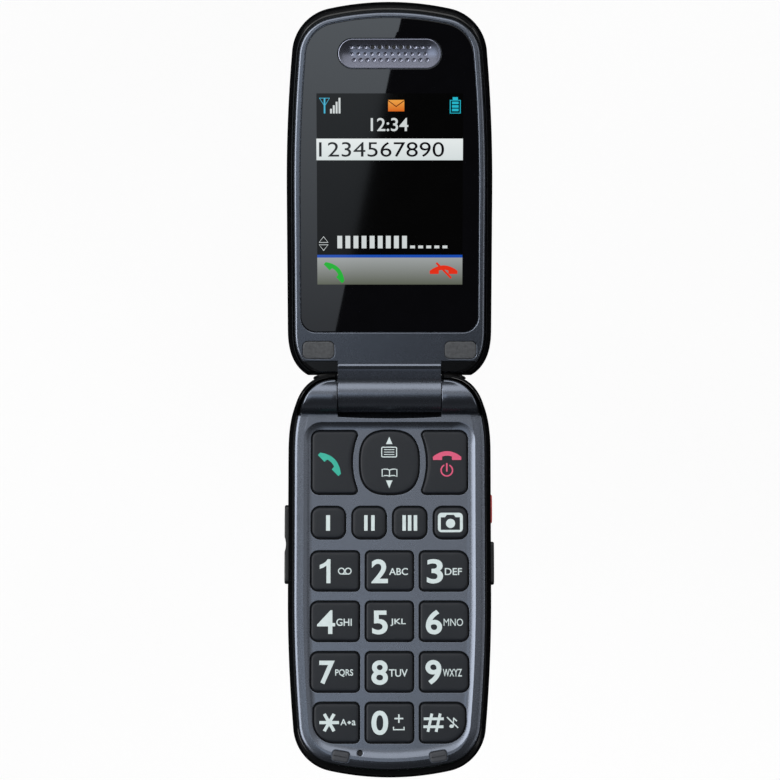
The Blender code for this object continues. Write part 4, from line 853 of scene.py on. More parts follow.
@dataclass
class Dresser:
    """Puts pieces on bodies, hides the nodes that they stand for and reports them."""

    finishes: Finishes
    nodes: dict[str, bpy.types.Object]
    done: list[str] = field(default_factory=list)

    def wear(
        self, item: bpy.types.Object, finish: str, body: str, slot: str, replaces: Sequence[str] = ()
    ) -> bpy.types.Object:
        """Give a piece its material and body, and hide the nodes that it stands for.

        Args:
            item: The finished piece.
            finish: Material name.
            body: Body that it moves with.
            slot: Slot of the record; not used.
            replaces: CAD nodes that it stands for.

        Returns:
            The piece.
        """
        item.data.materials.clear()
        item.data.materials.append(self.finishes[finish])
        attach(item, body)
        if replaces:
            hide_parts(*replaces)
        self.done.append(item.name)
        LOG.info("piece %s on %s, %d faces", item.name, body, len(item.data.polygons))
        return item

    def keep(self, node: str, finish: str) -> None:
        """Keep a CAD node as it is, with a better material."""
        data = self.nodes[node].data
        data.materials.clear()
        data.materials.append(self.finishes[finish])
        LOG.info("node %s kept in %s", node, finish)


@dataclass(frozen=True)
class HingeForm:
    """Sizes of the ears, the barrel between them and the tongue that joins it to the lid."""

    ear_radius: float = 5.1
    barrel_radius: float = 4.85
    barrel_half: float = 12.86
    pocket_half: float = 12.97
    tongue_bend: float = 5.9
    tongue_reach: float = 7.1
    tongue_top: float = -0.3
    ear_low: float = 9.9

    def angle(self) -> float:
        """Turn, seen from the side, where the bent tongue leaves the barrel at a tangent."""
        reach = math.hypot(self.tongue_bend, self.tongue_top)
        return math.atan2(self.tongue_top, self.tongue_bend) + math.acos(self.barrel_radius / reach)

    def pocket(self, clearance: float, end: float, face: float, half: float, soft: float) -> Array:
        """Rings across the phone of the space for the barrel and the closed tongue.

        The section runs under the barrel on a circle, leaves it at the tongue's tangent,
        and opens with a soft lip at the face; the lip bows out in the middle.

        Args:
            clearance: Gap round the barrel.
            end: How far the space goes past the axis.
            face: Height of the lip.
            half: Half of its width.
            soft: Size of the lip's rounding; nought for a plain edge.

        Returns:
            Rings as (across, points, 3).
        """
        radius = self.barrel_radius + clearance
        turn = self.angle()
        wall = arc((0.0, HINGE.height), (radius, radius), -math.pi / 2, -turn, 22)
        slope = math.tan(turn)
        top = face + (7.0 if soft else 0.0)
        rings = []
        for share in np.linspace(-1, 1, 25):
            bow = 0.42 * (1 - share**2)

            def at(height: float) -> Pair:
                """Point of the tangent wall at one height, bowed out towards the lip."""
                rise = (height - wall[-1, 1]) / (face - wall[-1, 1])
                return wall[-1, 0] + (height - wall[-1, 1]) * slope + bow * rise, height

            lip = [at(face)]
            if soft:
                edge = at(face)[0]
                lip = [at(face - soft), (edge - 0.25 * soft, face - 0.45 * soft),
                       (edge + 0.15 * soft, face - 0.12 * soft), (edge + 0.8 * soft, face),
                       (edge + 0.8 * soft, top)]
            section = np.vstack([[(-end, wall[0, 1])], wall, lip, [(-end, top)]])
            rings.append(np.column_stack([np.full(len(section), share * half), section]))
        return np.stack(rings)

    def ear(self, side: int, rows: Sequence[Pair], inner: Sequence[Pair], low: float,
            last: float) -> Array:
        """Rings of one ear: the barrel's round form carried out to the base's shoulder.

        Each station has a place on the shoulder curve and the height of the ear's circle
        there: first even steps along the shoulder, then, from where the two change over,
        even steps round the ear. The section starts down at the outline, follows the given edge rows, and
        runs straight to its inner edge.

        Args:
            side: -1 for the left ear, 1 for the right.
            rows: (inset, drop below the circle) of the outer edge, from outside in.
            inner: (distance from the pocket's side, drop) rows; empty for a wall that
                stops at the last outer row.
            low: Height of the section's foot.
            last: Height that the form runs down to at its keypad end.

        Returns:
            Rings as (stations, points, 3).
        """
        change = 2.0
        depth = SHOULDER[1] - rows[0][0]
        nearest = math.asin(((SHOULDER_START - change) / depth) ** 1.25)
        first = np.sin(np.linspace(0.985 * math.pi / 2, nearest, 30)) ** 0.8
        turn = np.linspace(math.acos(change / self.ear_radius), 0.0, 18)
        rest = (SHOULDER_START - self.ear_radius * np.cos(turn)[1:]) / depth
        along = np.concatenate([first, rest])
        across = np.maximum(1 - along**SHOULDER_POWER, 0.0) ** 0.4
        reach = SHOULDER_START - depth * along
        height = HINGE.height + np.sqrt(np.maximum(self.ear_radius**2 - reach**2, 0.0))
        down = np.linspace(HINGE.height, last, 4)[1:]
        along, across = (np.concatenate([a, np.repeat(a[-1:], 3)]) for a in (along, across))
        height = np.concatenate([height, down])

        def column(inset: float, drop: Array | float) -> Array:
            """One row of the section at every station."""
            x = SHOULDER_MIDDLE + (SHOULDER[0] - inset) * across
            return np.stack([x, SHOULDER_START - (SHOULDER[1] - inset) * along, height - drop], axis=1)

        columns = [column(rows[0][0], height - low)] + [column(inset, drop) for inset, drop in rows]
        edge = columns[-1]
        if inner:
            foot = edge * (0, 1, 1) + (self.pocket_half, 0, 0)
            for share in np.linspace(0, 1, 7)[1:]:
                columns.append(edge + (foot + (inner[0][0], 0, 0) - edge) * share)
            columns += [foot + (gap, 0, -drop) for gap, drop in inner[1:]]
        columns.append(columns[-1] * (1, 1, 0) + (0, 0, low))
        rings = np.stack(columns, axis=1)
        return rings * (side, 1, 1)

    def shroud(self, side: int) -> Array:
        """Rings of the base's wall behind one ear: part of a cylinder about the axis, cut slantwise.

        The round face is (r cos t, r sin t) under the axis, so that the chin passes it. Its
        top sinks towards the outer end, where the wall fades into the ear's back.
        """
        gap = 0.02
        radius = self.ear_radius + gap
        rings = []
        for share in (0.0, 0.4, 0.7, 0.9, 1.0):
            top = math.radians(-12 - 26 * share**3)
            face = arc((0.0, 0.0), (radius, radius), top, math.radians(-52), 10)
            section = np.vstack([face, [(2.4, face[-1, 1]), (2.4, face[0, 1] - 0.8)]])
            end = 18.3 + (section[:, 0] - 3.1)
            x = self.pocket_half + gap + (end - self.pocket_half - gap) * share
            rings.append(np.column_stack([side * x, -section[:, 0], HINGE.height + section[:, 1]]))
        return np.stack(rings)

    def neck(self) -> Array:
        """Rings of the barrel with its tongue, the barrel's ends a little rounded."""
        radius, root, tip = self.barrel_radius, 7.35, self.tongue_reach
        barrel = arc((0.0, 0.0), (radius, radius), self.angle(), 1.5 * math.pi, 44)
        tongue = np.array([
            (root, -radius * 0.985), (root, -0.75), (tip + 0.22, -0.75), (tip + 0.20, -0.54),
            (tip + 0.13, -0.46), (tip - 0.04, -0.35), (tip - 0.20, -0.255), (tip - 0.27, -0.232),
            (tip - 0.36, -0.225), (tip - 0.50, -0.26), (self.tongue_bend + 0.05, -0.37)])
        section = np.vstack([barrel, tongue])
        inward = np.array((2.0, -2.0)) - section
        inward /= np.linalg.norm(inward, axis=1, keepdims=True)
        soft = ((0.12, 0.0), (0.05, 0.05), (0.0, 0.14))
        rings = []
        for side, (shrink, short) in [*((-1, row) for row in soft), *((1, row) for row in soft[::-1])]:
            x = np.full(len(section), side * (self.barrel_half - short))
            rings.append(np.column_stack([x, section + inward * shrink]))
        return np.stack(rings)


@dataclass(frozen=True)
class KeyShape:
    """One front key: its middle, its outline and how it is crowned."""

    name: str
    x: float
    along: float
    half_x: float
    half_y: float
    corners: tuple[float, ...] = (1.8,)
    bow: float = 0.0
    power: float = 0.0
    crown: float = 0.10
    rim: float = 11.30

    def outline(self, margin: float, count: int = 132) -> Array:
        """Outline grown by a margin, evenly stepped, on the base's coordinates."""
        half_x, half_y = self.half_x - 0.26 + margin, self.half_y - 0.25 + margin
        if self.power:
            points = arc((0.0, 0.0), (half_x, half_y), 0.0, 2 * math.pi, count, self.power)[:-1]
        else:
            radii = [max(r + margin, 0.3) for r in (self.corners * 4)[:4]]
            points = rounded_box(half_x, half_y, radii)
        points = resample(points, count)
        if self.bow:
            side = math.copysign(1.0, self.bow)
            straight = half_y - (self.corners[0] if self.bow > 0 else self.corners[1]) - margin
            share = np.clip(1 - (points[:, 1] / straight) ** 2, 0, 1)
            hollow = np.where(points[:, 0] * side > half_x - 1.2, share * abs(self.bow), 0.0)
            points[:, 0] -= side * hollow
        return points * (1, -1) + (self.x, self.along)

    def top(self, x: Array, along: Array) -> Array:
        """Height of the crowned top: the rim plus a product of two parabolas."""
        across = 1 - ((x - self.x) / self.half_x) ** 2
        length = 1 - ((along - self.along) / self.half_y) ** 2
        return self.rim + self.crown * np.clip(across, 0, 1) * np.clip(length, 0, 1)

    def rings(self) -> Array:
        """Flange, stem, rounded edge and crowned top, from below up to the middle."""
        turn = np.linspace(0, math.pi / 2, 8)
        edge = np.stack([0.52 * (1 - np.cos(turn)), 10.92 + (self.rim - 10.92) * np.sin(turn)], axis=1)
        rows = [level(self.outline(0.5), 9.0), level(self.outline(0.5), 9.4), level(self.outline(0.0), 9.4)]
        rows += [level(self.outline(-inset), height) for inset, height in edge]
        rim = self.outline(-0.52)
        middle = np.array((self.x, self.along))
        for share in (0.96, 0.88, 0.76, 0.6, 0.42, 0.24, 0.08):
            points = middle + (rim - middle) * share
            rows.append(level(points, self.top(points[:, 0], points[:, 1])))
        return np.stack(rows)


def key_shapes() -> list[KeyShape]:
    """Every front key, in rows from the hinge down."""
    keys = [
        KeyShape("call_key", -13.725, 17.325, 5.775, 7.975, (0.9, 1.7, 1.7, 0.9), bow=1.3),
        KeyShape("nav_key", 0.0, 17.325, 7.5, 8.05, power=2.7, crown=0.12, rim=11.28),
        KeyShape("end_key", 13.725, 17.325, 5.775, 7.975, (1.8, 0.9, 0.9, 1.8), bow=-1.3),
    ]
    for index, name in enumerate(("hot_key_1", "hot_key_2", "hot_key_3", "camera_key")):
        keys.append(KeyShape(name, (index - 1.5) * 10.13, 32.35, 4.3, 4.05, (2.0,)))
    rows = (("key_1", "key_2", "key_3"), ("key_4", "key_5", "key_6"), ("key_7", "key_8", "key_9"),
            ("star_key", "key_0", "hash_key"))
    for row, names in enumerate(rows):
        along = 39.35 + 12.44 * row + 4.975
        last = row == 3
        outer, half = (13.15, 5.75) if last else (13.525, 6.125)
        low = 5.0 if last else 1.7
        left, right = ((0.85, 1.7, low, 0.95), (2.4, 1.0, 1.0, 1.9)) if row == 0 else (
            (1.0, 1.7, low, 1.0), (2.2, 1.0, 1.0, low))
        keys.append(KeyShape(names[0], -outer, along, half, 4.975, left))
        keys.append(KeyShape(names[1], 0.0, along, 6.0, 4.975, (1.0,)))
        keys.append(KeyShape(names[2], outer, along, half, 4.975, right))
    return keys


@dataclass(frozen=True)
class SideKey:
    """One key in a side wall: its place, its half sizes and how far it stands out."""

    name: str
    side: int
    along: float
    half_l: float
    half_h: float
    proud: float
    corner: float
    finish: str


SIDE_KEY_HEIGHT = 4.4
SIDE_KEYS = (
    SideKey("volume_rocker", -1, 37.6, 9.9, 1.5, 0.85, 0.9, "side_key_plastic"),
    SideKey("side_key", 1, 42.3, 5.4, 1.3, 0.73, 0.8, "side_key_plastic"),
    SideKey("emergency_key", 1, 28.7, 3.65, 1.3, 0.28, 0.8, "emergency_red"),
)


@dataclass
class BaseCovers:
    """Front and rear covers of the base, with the bumpers and the battery door."""

    dresser: Dresser
    hinge: HingeForm = field(default_factory=HingeForm)
    face: float = 11.2
    dish: float = 10.58
    wall_low: float = 9.65

    def front(self) -> None:
        """Front cover: a sloped rim swept round the plan, ears, trough, dish and holes."""
        slope = smooth(((1.46, 9.35), (1.48, 9.85), (1.60, 10.30), (1.88, 10.66), (2.34, 10.88),
                        (3.0, 11.00), (4.05, 11.15), (4.3, self.face)), 4)
        profile = [(2.95, self.wall_low), (2.95, 7.6), (1.85, 7.6), (1.75, 7.7), (1.75, 8.98),
                   (1.56, 9.02), (1.48, 9.12), *slope.tolist()]
        rings = swept(lambda inset: base_ring(inset, 0.75 * ramp(inset, 3.9, 2.3)), profile)
        cover = Form(Half.BASE).loft(rings).mesh("front_cover")
        carve(cover, "DIFFERENCE", self.dish_tool(), self.holes())
        turn = np.linspace(0, math.pi / 2, 7)
        soft = [(2.05 + 0.55 * (1 - math.cos(t)), 0.55 * (1 - math.sin(t))) for t in turn]
        lip = [(0.25, 0.0), (0.07, 0.07), (0.0, 0.25)]
        ears = Form(Half.BASE)
        for side in (-1, 1):
            ears.loft(self.hinge.ear(side, soft, lip, self.hinge.ear_low, 10.5))
        trough = Form(Half.BASE).loft(self.hinge.pocket(1.4, 3.1, self.dish - 0.06, 14.05, 0.0))
        carve(cover, "UNION", ears.mesh("ears"), trough.mesh("trough"))
        carve(cover, "DIFFERENCE", self.pocket(), self.small_holes())
        self.dresser.wear(shade(cover), "satin_front", "base", "satin_front", ["base_front_cover"])

    def pocket(self) -> bpy.types.Object:
        """Tool that clears the barrel's space out of a cover."""
        rings = self.hinge.pocket(0.4, 6.1, self.face, self.hinge.pocket_half, 0.28)
        return Form(Half.BASE).loft(rings).mesh("pocket_tool")

    def dish_tool(self) -> bpy.types.Object:
        """Tool for the keypad's dish: its wall steepens from the floor up to a soft crest."""
        rise = 11.145 - self.dish
        wall = [(1.95 - 2.1 * t, self.dish + rise * t**1.9) for t in np.linspace(0, 1, 15)]
        profile = [*wall, (-0.21, 11.163), (-0.29, 11.170), (-0.42, 11.172), (-0.42, 12.4)]
        rings = swept(lambda run: base_area(4.3 + run, 7.4 + run, 4.5, 1.05), profile)
        return Form(Half.BASE).loft(rings).mesh("dish_tool")

    def holes(self) -> bpy.types.Object:
        """Tool for the key holes, flared at the dish floor like a rounded moulded edge."""
        gap, flare = 0.28, 0.26
        turn = np.linspace(0, math.pi / 2, 6)
        rim = [(gap + flare * (1 - math.cos(t)), self.dish - flare + flare * math.sin(t)) for t in turn]
        form = Form(Half.BASE)
        for key in key_shapes():
            form.loft(swept(key.outline, [(gap, 8.6), *rim, (0.54, 12.0)]))
        return form.mesh("hole_tool")

    @staticmethod
    def on_end(outline: Array, side: int) -> Array:
        """Outline turned to lie along the end's arc and put at one bumper's place."""
        turn = side * math.asin(BUMPER_PLACE[0] / Plan.end_radius)
        return rotated(outline, -turn) + (side * BUMPER_PLACE[0], BUMPER_PLACE[1])

    def bumper_outline(self, side: int, margin: float) -> Array:
        """Plan of one bumper, grown by a margin."""
        return self.on_end(resample(BUMPER.outline(margin), 72), side)

    def small_holes(self) -> bpy.types.Object:
        """Tool for the bumper seats and the microphone hole, each with a soft rim."""
        form = Form(Half.BASE)
        for side in (-1, 1):
            form.loft(swept(partial(self.bumper_outline, side), ((0.22, 10.05), (0.22, 10.7), (0.22, 12.4))))
        mic = ((0.62, 8.6), (0.62, 10.36), (0.66, 10.47), (0.76, 10.55), (0.9, 10.59), (0.9, 12.4))
        form.loft(turned(mic, MICROPHONE_PLACE, 40))
        return form.mesh("small_tool")

    def rear(self) -> None:
        """Rear cover: a bowl whose side bulges low down, ear backs, and the back's openings."""
        side = smooth(((3.2, 0.0), (2.1, 0.20), (1.2, 0.68), (0.576, 1.513), (0.12, 3.1), (0.0, 4.98),
                       (0.16, 7.03), (0.42, 7.75), (0.80, 8.30), (1.24, 8.80)), 4)
        profile = [*side.tolist(), (1.32, 8.87), (1.39, 8.88), (1.44, 8.83), (1.45, 8.75), (1.45, 2.1)]
        rings = [level(base_ring(inset, 0.62 * ramp(inset, 0.8, 1.3) * ramp(z, 1.0, 2.0)), z)
                 for inset, z in profile]
        cover = Form(Half.BASE).loft(np.stack(rings)).mesh("rear_cover")
        soft = [(0.64, 1.25), (0.66, 1.0), (0.74, 0.82), (1.18, 0.36), (1.28, 0.31), (1.36, 0.33), (1.42, 0.5)]
        ears = Form(Half.BASE)
        for edge in (-1, 1):
            ears.loft(self.hinge.ear(edge, soft, (), 7.0, 8.2))
        shrouds = [Form(Half.BASE).loft(self.hinge.shroud(edge)).mesh("shroud") for edge in (-1, 1)]
        well = Form(Half.BASE).loft(BATTERY_WELL.rings(((0.0, 1.1), (0.0, 6.3))))
        for _, place, _ in SCREWS:
            well.loft(turned(((2.0, 1.1), (2.0, 6.3)), place, 40))
        carve(cover, "UNION", *shrouds, ears.mesh("ear_backs"), well.mesh("well"))
        carve(cover, "DIFFERENCE", self.pocket(), self.back_tool(), self.side_tool(), self.door_tool())
        self.dresser.wear(shade(cover), "gloss_black", "base", "gloss_black", ["base_rear_cover"])

    def door_tool(self) -> bpy.types.Object:
        """Tool for the battery door's seat, with a fine soft edge at the back face."""
        profile = ((0.2, 1.15), (0.2, 0.12), (0.24, 0.04), (0.34, 0.0), (0.34, -1.0))
        return Form(Half.BASE).loft(DOOR.rings(profile, 12)).mesh("door_tool")

    def back_tool(self) -> bpy.types.Object:
        """Tool for the battery's space, loudspeaker slots, screw sinks, contacts and socket."""
        form = Form(Half.BASE).loft(BATTERY_SPACE.rings(((0.0, 0.3), (0.0, 5.6)), 6))
        slot = ((0.0, 2.35), (0.0, 0.22), (0.06, 0.07), (0.2, 0.0), (0.2, -1.0))
        for index in range(4):
            form.loft(Box((4.0, 0.45), 0.449, (-10.0, 20.0 + (1.5 - index) * 2.1)).rings(slot))
        sink = ((1.05, 7.2), (1.05, 1.35), (1.75, 1.35), (1.75, 0.2), (1.82, 0.06), (1.95, 0.0), (1.95, -1.0))
        for _, place, _ in SCREWS:
            form.loft(turned(sink, place, 48))
        form.loft(prism(bar(-4.75, 30.6, 4.75, 33.75), 2.16, 5.2))
        form.loft(prism(bar(5.55, 88.2, 13.45, 96.5), 2.225, 5.2))
        return form.mesh("back_tool")

    def side_tool(self) -> bpy.types.Object:
        """Tool for the slots of the keys in the side walls."""
        gap = 0.3
        form = Form(Half.BASE)
        for key in SIDE_KEYS:
            box = rounded_box(key.half_l + gap, key.half_h + gap, (1.0,), 8, (key.along, SIDE_KEY_HEIGHT))
            form.loft(crosswise(box, key.side * 23.0, key.side * 26.6))
        return form.mesh("side_tool")

    def bumpers(self) -> None:
        """Bumpers: rounded pads, each with a fine slot along its middle."""
        for side, name in ((-1, "bumper_left"), (1, "bumper_right")):
            profile = ((0.0, 10.3), (0.0, 11.45), (-0.05, 11.62), (-0.17, 11.74), (-0.36, 11.8))
            rings = list(swept(partial(self.bumper_outline, side), profile))
            middle = np.array((side * BUMPER_PLACE[0], BUMPER_PLACE[1]))
            rim = self.bumper_outline(side, -0.36)
            rings += [level(middle + (rim - middle) * s, 11.8 + 0.03 * (1 - s * s)) for s in (0.85, 0.6, 0.3)]
            item = Form(Half.BASE).loft(np.stack(rings)).mesh("pad_" + name)
            slot = self.on_end(rounded_box(1.7, 0.14, (0.13,), 6), side)
            carve(item, "DIFFERENCE", Form(Half.BASE).loft(prism(slot, 11.55, 12.2)).mesh("slot_tool"))
            self.dresser.wear(shade(item), "bumper_rubber", "base", "pad_rubber", [name])

    def door(self) -> None:
        """Battery door: soft outer edge and grip ribs at the hinge end."""
        profile = ((0.0, 0.9), (0.0, 0.22), (-0.07, 0.07), (-0.22, 0.0))
        item = Form(Half.BASE).loft(DOOR.rings(profile, 14)).mesh("door")
        ribs = Form(Half.BASE)
        for index in range(6):
            half = 5.2 - 0.16 * (index - 2.5) ** 2
            line = ((0.0, 0.22), (0.0, 0.06), (0.05, 0.0), (0.05, -0.6))
            ribs.loft(Box((half, 0.22), 0.21, (0.0, 33.2 + index * 1.15)).rings(line, 6))
        carve(item, "DIFFERENCE", ribs.mesh("rib_tool"))
        self.dresser.wear(shade(item), "door_plastic", "battery_door", "door_plastic", ["battery_door"])

    def screws(self) -> None:
        """Screws in the back: a domed head with a cross recess, on a threaded shank."""
        head = [(0.35, 0.3), (1.1, 0.3), (1.4, 0.4), (1.5, 0.55), (1.5, 1.1), (0.8, 1.1)]
        for name, place, top in SCREWS:
            turns = np.arange(1.2, top - 0.05, 0.125)
            thread = [(0.8 - 0.12 * (index % 2), z) for index, z in enumerate(turns)]
            rings = turned([*head, *thread, (0.4, top)], place, 32)
            item = Form(Half.BASE).loft(rings).mesh("screw_" + name)
            arms = [Box(half, 0.1, place).outline(0.0, 3) for half in ((0.85, 0.14), (0.14, 0.85))]
            carve(item, "DIFFERENCE",
                  *(Form(Half.BASE).loft(prism(arm, -0.5, 0.72)).mesh("cross_tool") for arm in arms))
            self.dresser.wear(shade(item), "screw_steel", "base", "screw_steel", ["base_screw_" + name])

    def build(self) -> None:
        """Make and dress every piece of the covers."""
        self.front()
        self.rear()
        self.bumpers()
        self.door()
        self.screws()


class Legends:
    """Flat shapes for printed legends, in millimetres round a key's middle, up the page."""

    def __init__(self) -> None:
        """Start with no lettering cached."""
        self.cache: dict[tuple[str, float], tuple[Array, list[list[int]]]] = {}

    def letters(self, text: str, weight: float) -> tuple[Array, list[list[int]]]:
        """Lettering in the built-in font as a closed thin solid of unit depth.

        Args:
            text: What it says.
            weight: Thickening of the strokes, in parts of the letter size.

        Returns:
            Points with the box of the lettering scaled to 0..1 each way, and faces.
        """
        key = (text, weight)
        if key not in self.cache:
            curve = bpy.data.curves.new("lettering", "FONT")
            curve.body, curve.offset, curve.extrude, curve.resolution_u = text, weight, 0.5, 6
            item = new_object("lettering", curve)
            bpy.context.view_layer.update()
            data = bpy.data.meshes.new_from_object(item.evaluated_get(bpy.context.evaluated_depsgraph_get()))
            work = bmesh.new()
            work.from_mesh(data)
            bmesh.ops.remove_doubles(work, verts=work.verts, dist=1e-5)
            points = np.array([v.co for v in work.verts])
            work.verts.ensure_lookup_table()
            faces = [[v.index for v in face.verts] for face in work.faces]
            work.free()
            bpy.data.objects.remove(item, do_unlink=True)
            bpy.data.meshes.remove(data)
            low, high = points.min(0), points.max(0)
            self.cache[key] = ((points - low) / (high - low), faces)
        return self.cache[key]

    @staticmethod
    def stroke(points: Sequence[Pair], width: float, round_ends: bool = False) -> Array:
        """Outline of a line of one width: the path offset to both sides, mitred at its bends.

        Args:
            points: The line's middle.
            width: Its full width.
            round_ends: Finish with half circles.

        Returns:
            Closed outline.
        """
        path = np.array(points, float)
        steps = np.diff(path, axis=0)
        steps /= np.linalg.norm(steps, axis=1, keepdims=True)
        normals = np.stack([-steps[:, 1], steps[:, 0]], axis=1)
        joints = np.vstack([normals[:1], normals[:-1] + normals[1:], normals[-1:]])
        joints /= np.sum(joints * np.vstack([normals[:1], normals]), axis=1, keepdims=True)
        left, right = path + joints * width / 2, path - joints * width / 2
        if not round_ends:
            return np.vstack([left, right[::-1]])
        parts = []
        for centre, direction in ((path[-1], steps[-1]), (path[0], -steps[0])):
            ahead = math.atan2(direction[1], direction[0])
            start, end = ahead + math.pi / 2, ahead - math.pi / 2
            parts.append(arc(tuple(centre), (width / 2,) * 2, start, end, 8)[1:-1])
        return np.vstack([left, parts[0], right[::-1], parts[1]])

    @staticmethod
    def frame(outline: Array, width: float) -> list[Array]:
        """Closed band along the inside of an outline: the outline and its inner copy."""
        following, before = np.roll(outline, -1, axis=0), np.roll(outline, 1, axis=0)
        tangent = following - before
        tangent /= np.linalg.norm(tangent, axis=1, keepdims=True)
        inward = np.stack([-tangent[:, 1], tangent[:, 0]], axis=1)
        winding = np.sum(outline[:, 0] * following[:, 1] - following[:, 0] * outline[:, 1])
        return [outline, outline + inward * width * math.copysign(1.0, winding)]

    @staticmethod
    def handset(length: float, turn: float, centre: Pair) -> Array:
        """Telephone handset: an arched grip whose ends drop to square cups.

        Args:
            length: From cup to cup.
            turn: Rotation, in degrees.
            centre: Middle.

        Returns:
            Closed outline.
        """
        top = smooth(((-3.55, 0.80), (-2.6, 1.45), (-1.3, 2.0), (0.0, 2.2), (1.3, 2.0), (2.6, 1.45),
                      (3.55, 0.80)), 3)
        inner = smooth(((1.20, 0.85), (0.6, 1.02), (0.0, 1.08), (-0.6, 1.02), (-1.20, 0.85)), 3)
        points = (np.vstack([top, [(3.52, 0.06), (3.44, 0.0), (1.30, 0.0), (1.24, 0.06)], inner,
                             [(-1.24, 0.06), (-1.30, 0.0), (-3.44, 0.0), (-3.52, 0.06)]])
                  - (0.0, 1.1)) * (length / 7.1)
        return rotated(points, math.radians(turn)) + centre


@dataclass(frozen=True)
class Word:
    """Lettering fitted into a box: left, low, right and high edges round the key's middle."""

    text: str
    box: tuple[float, float, float, float]
    weight: float = 0.0


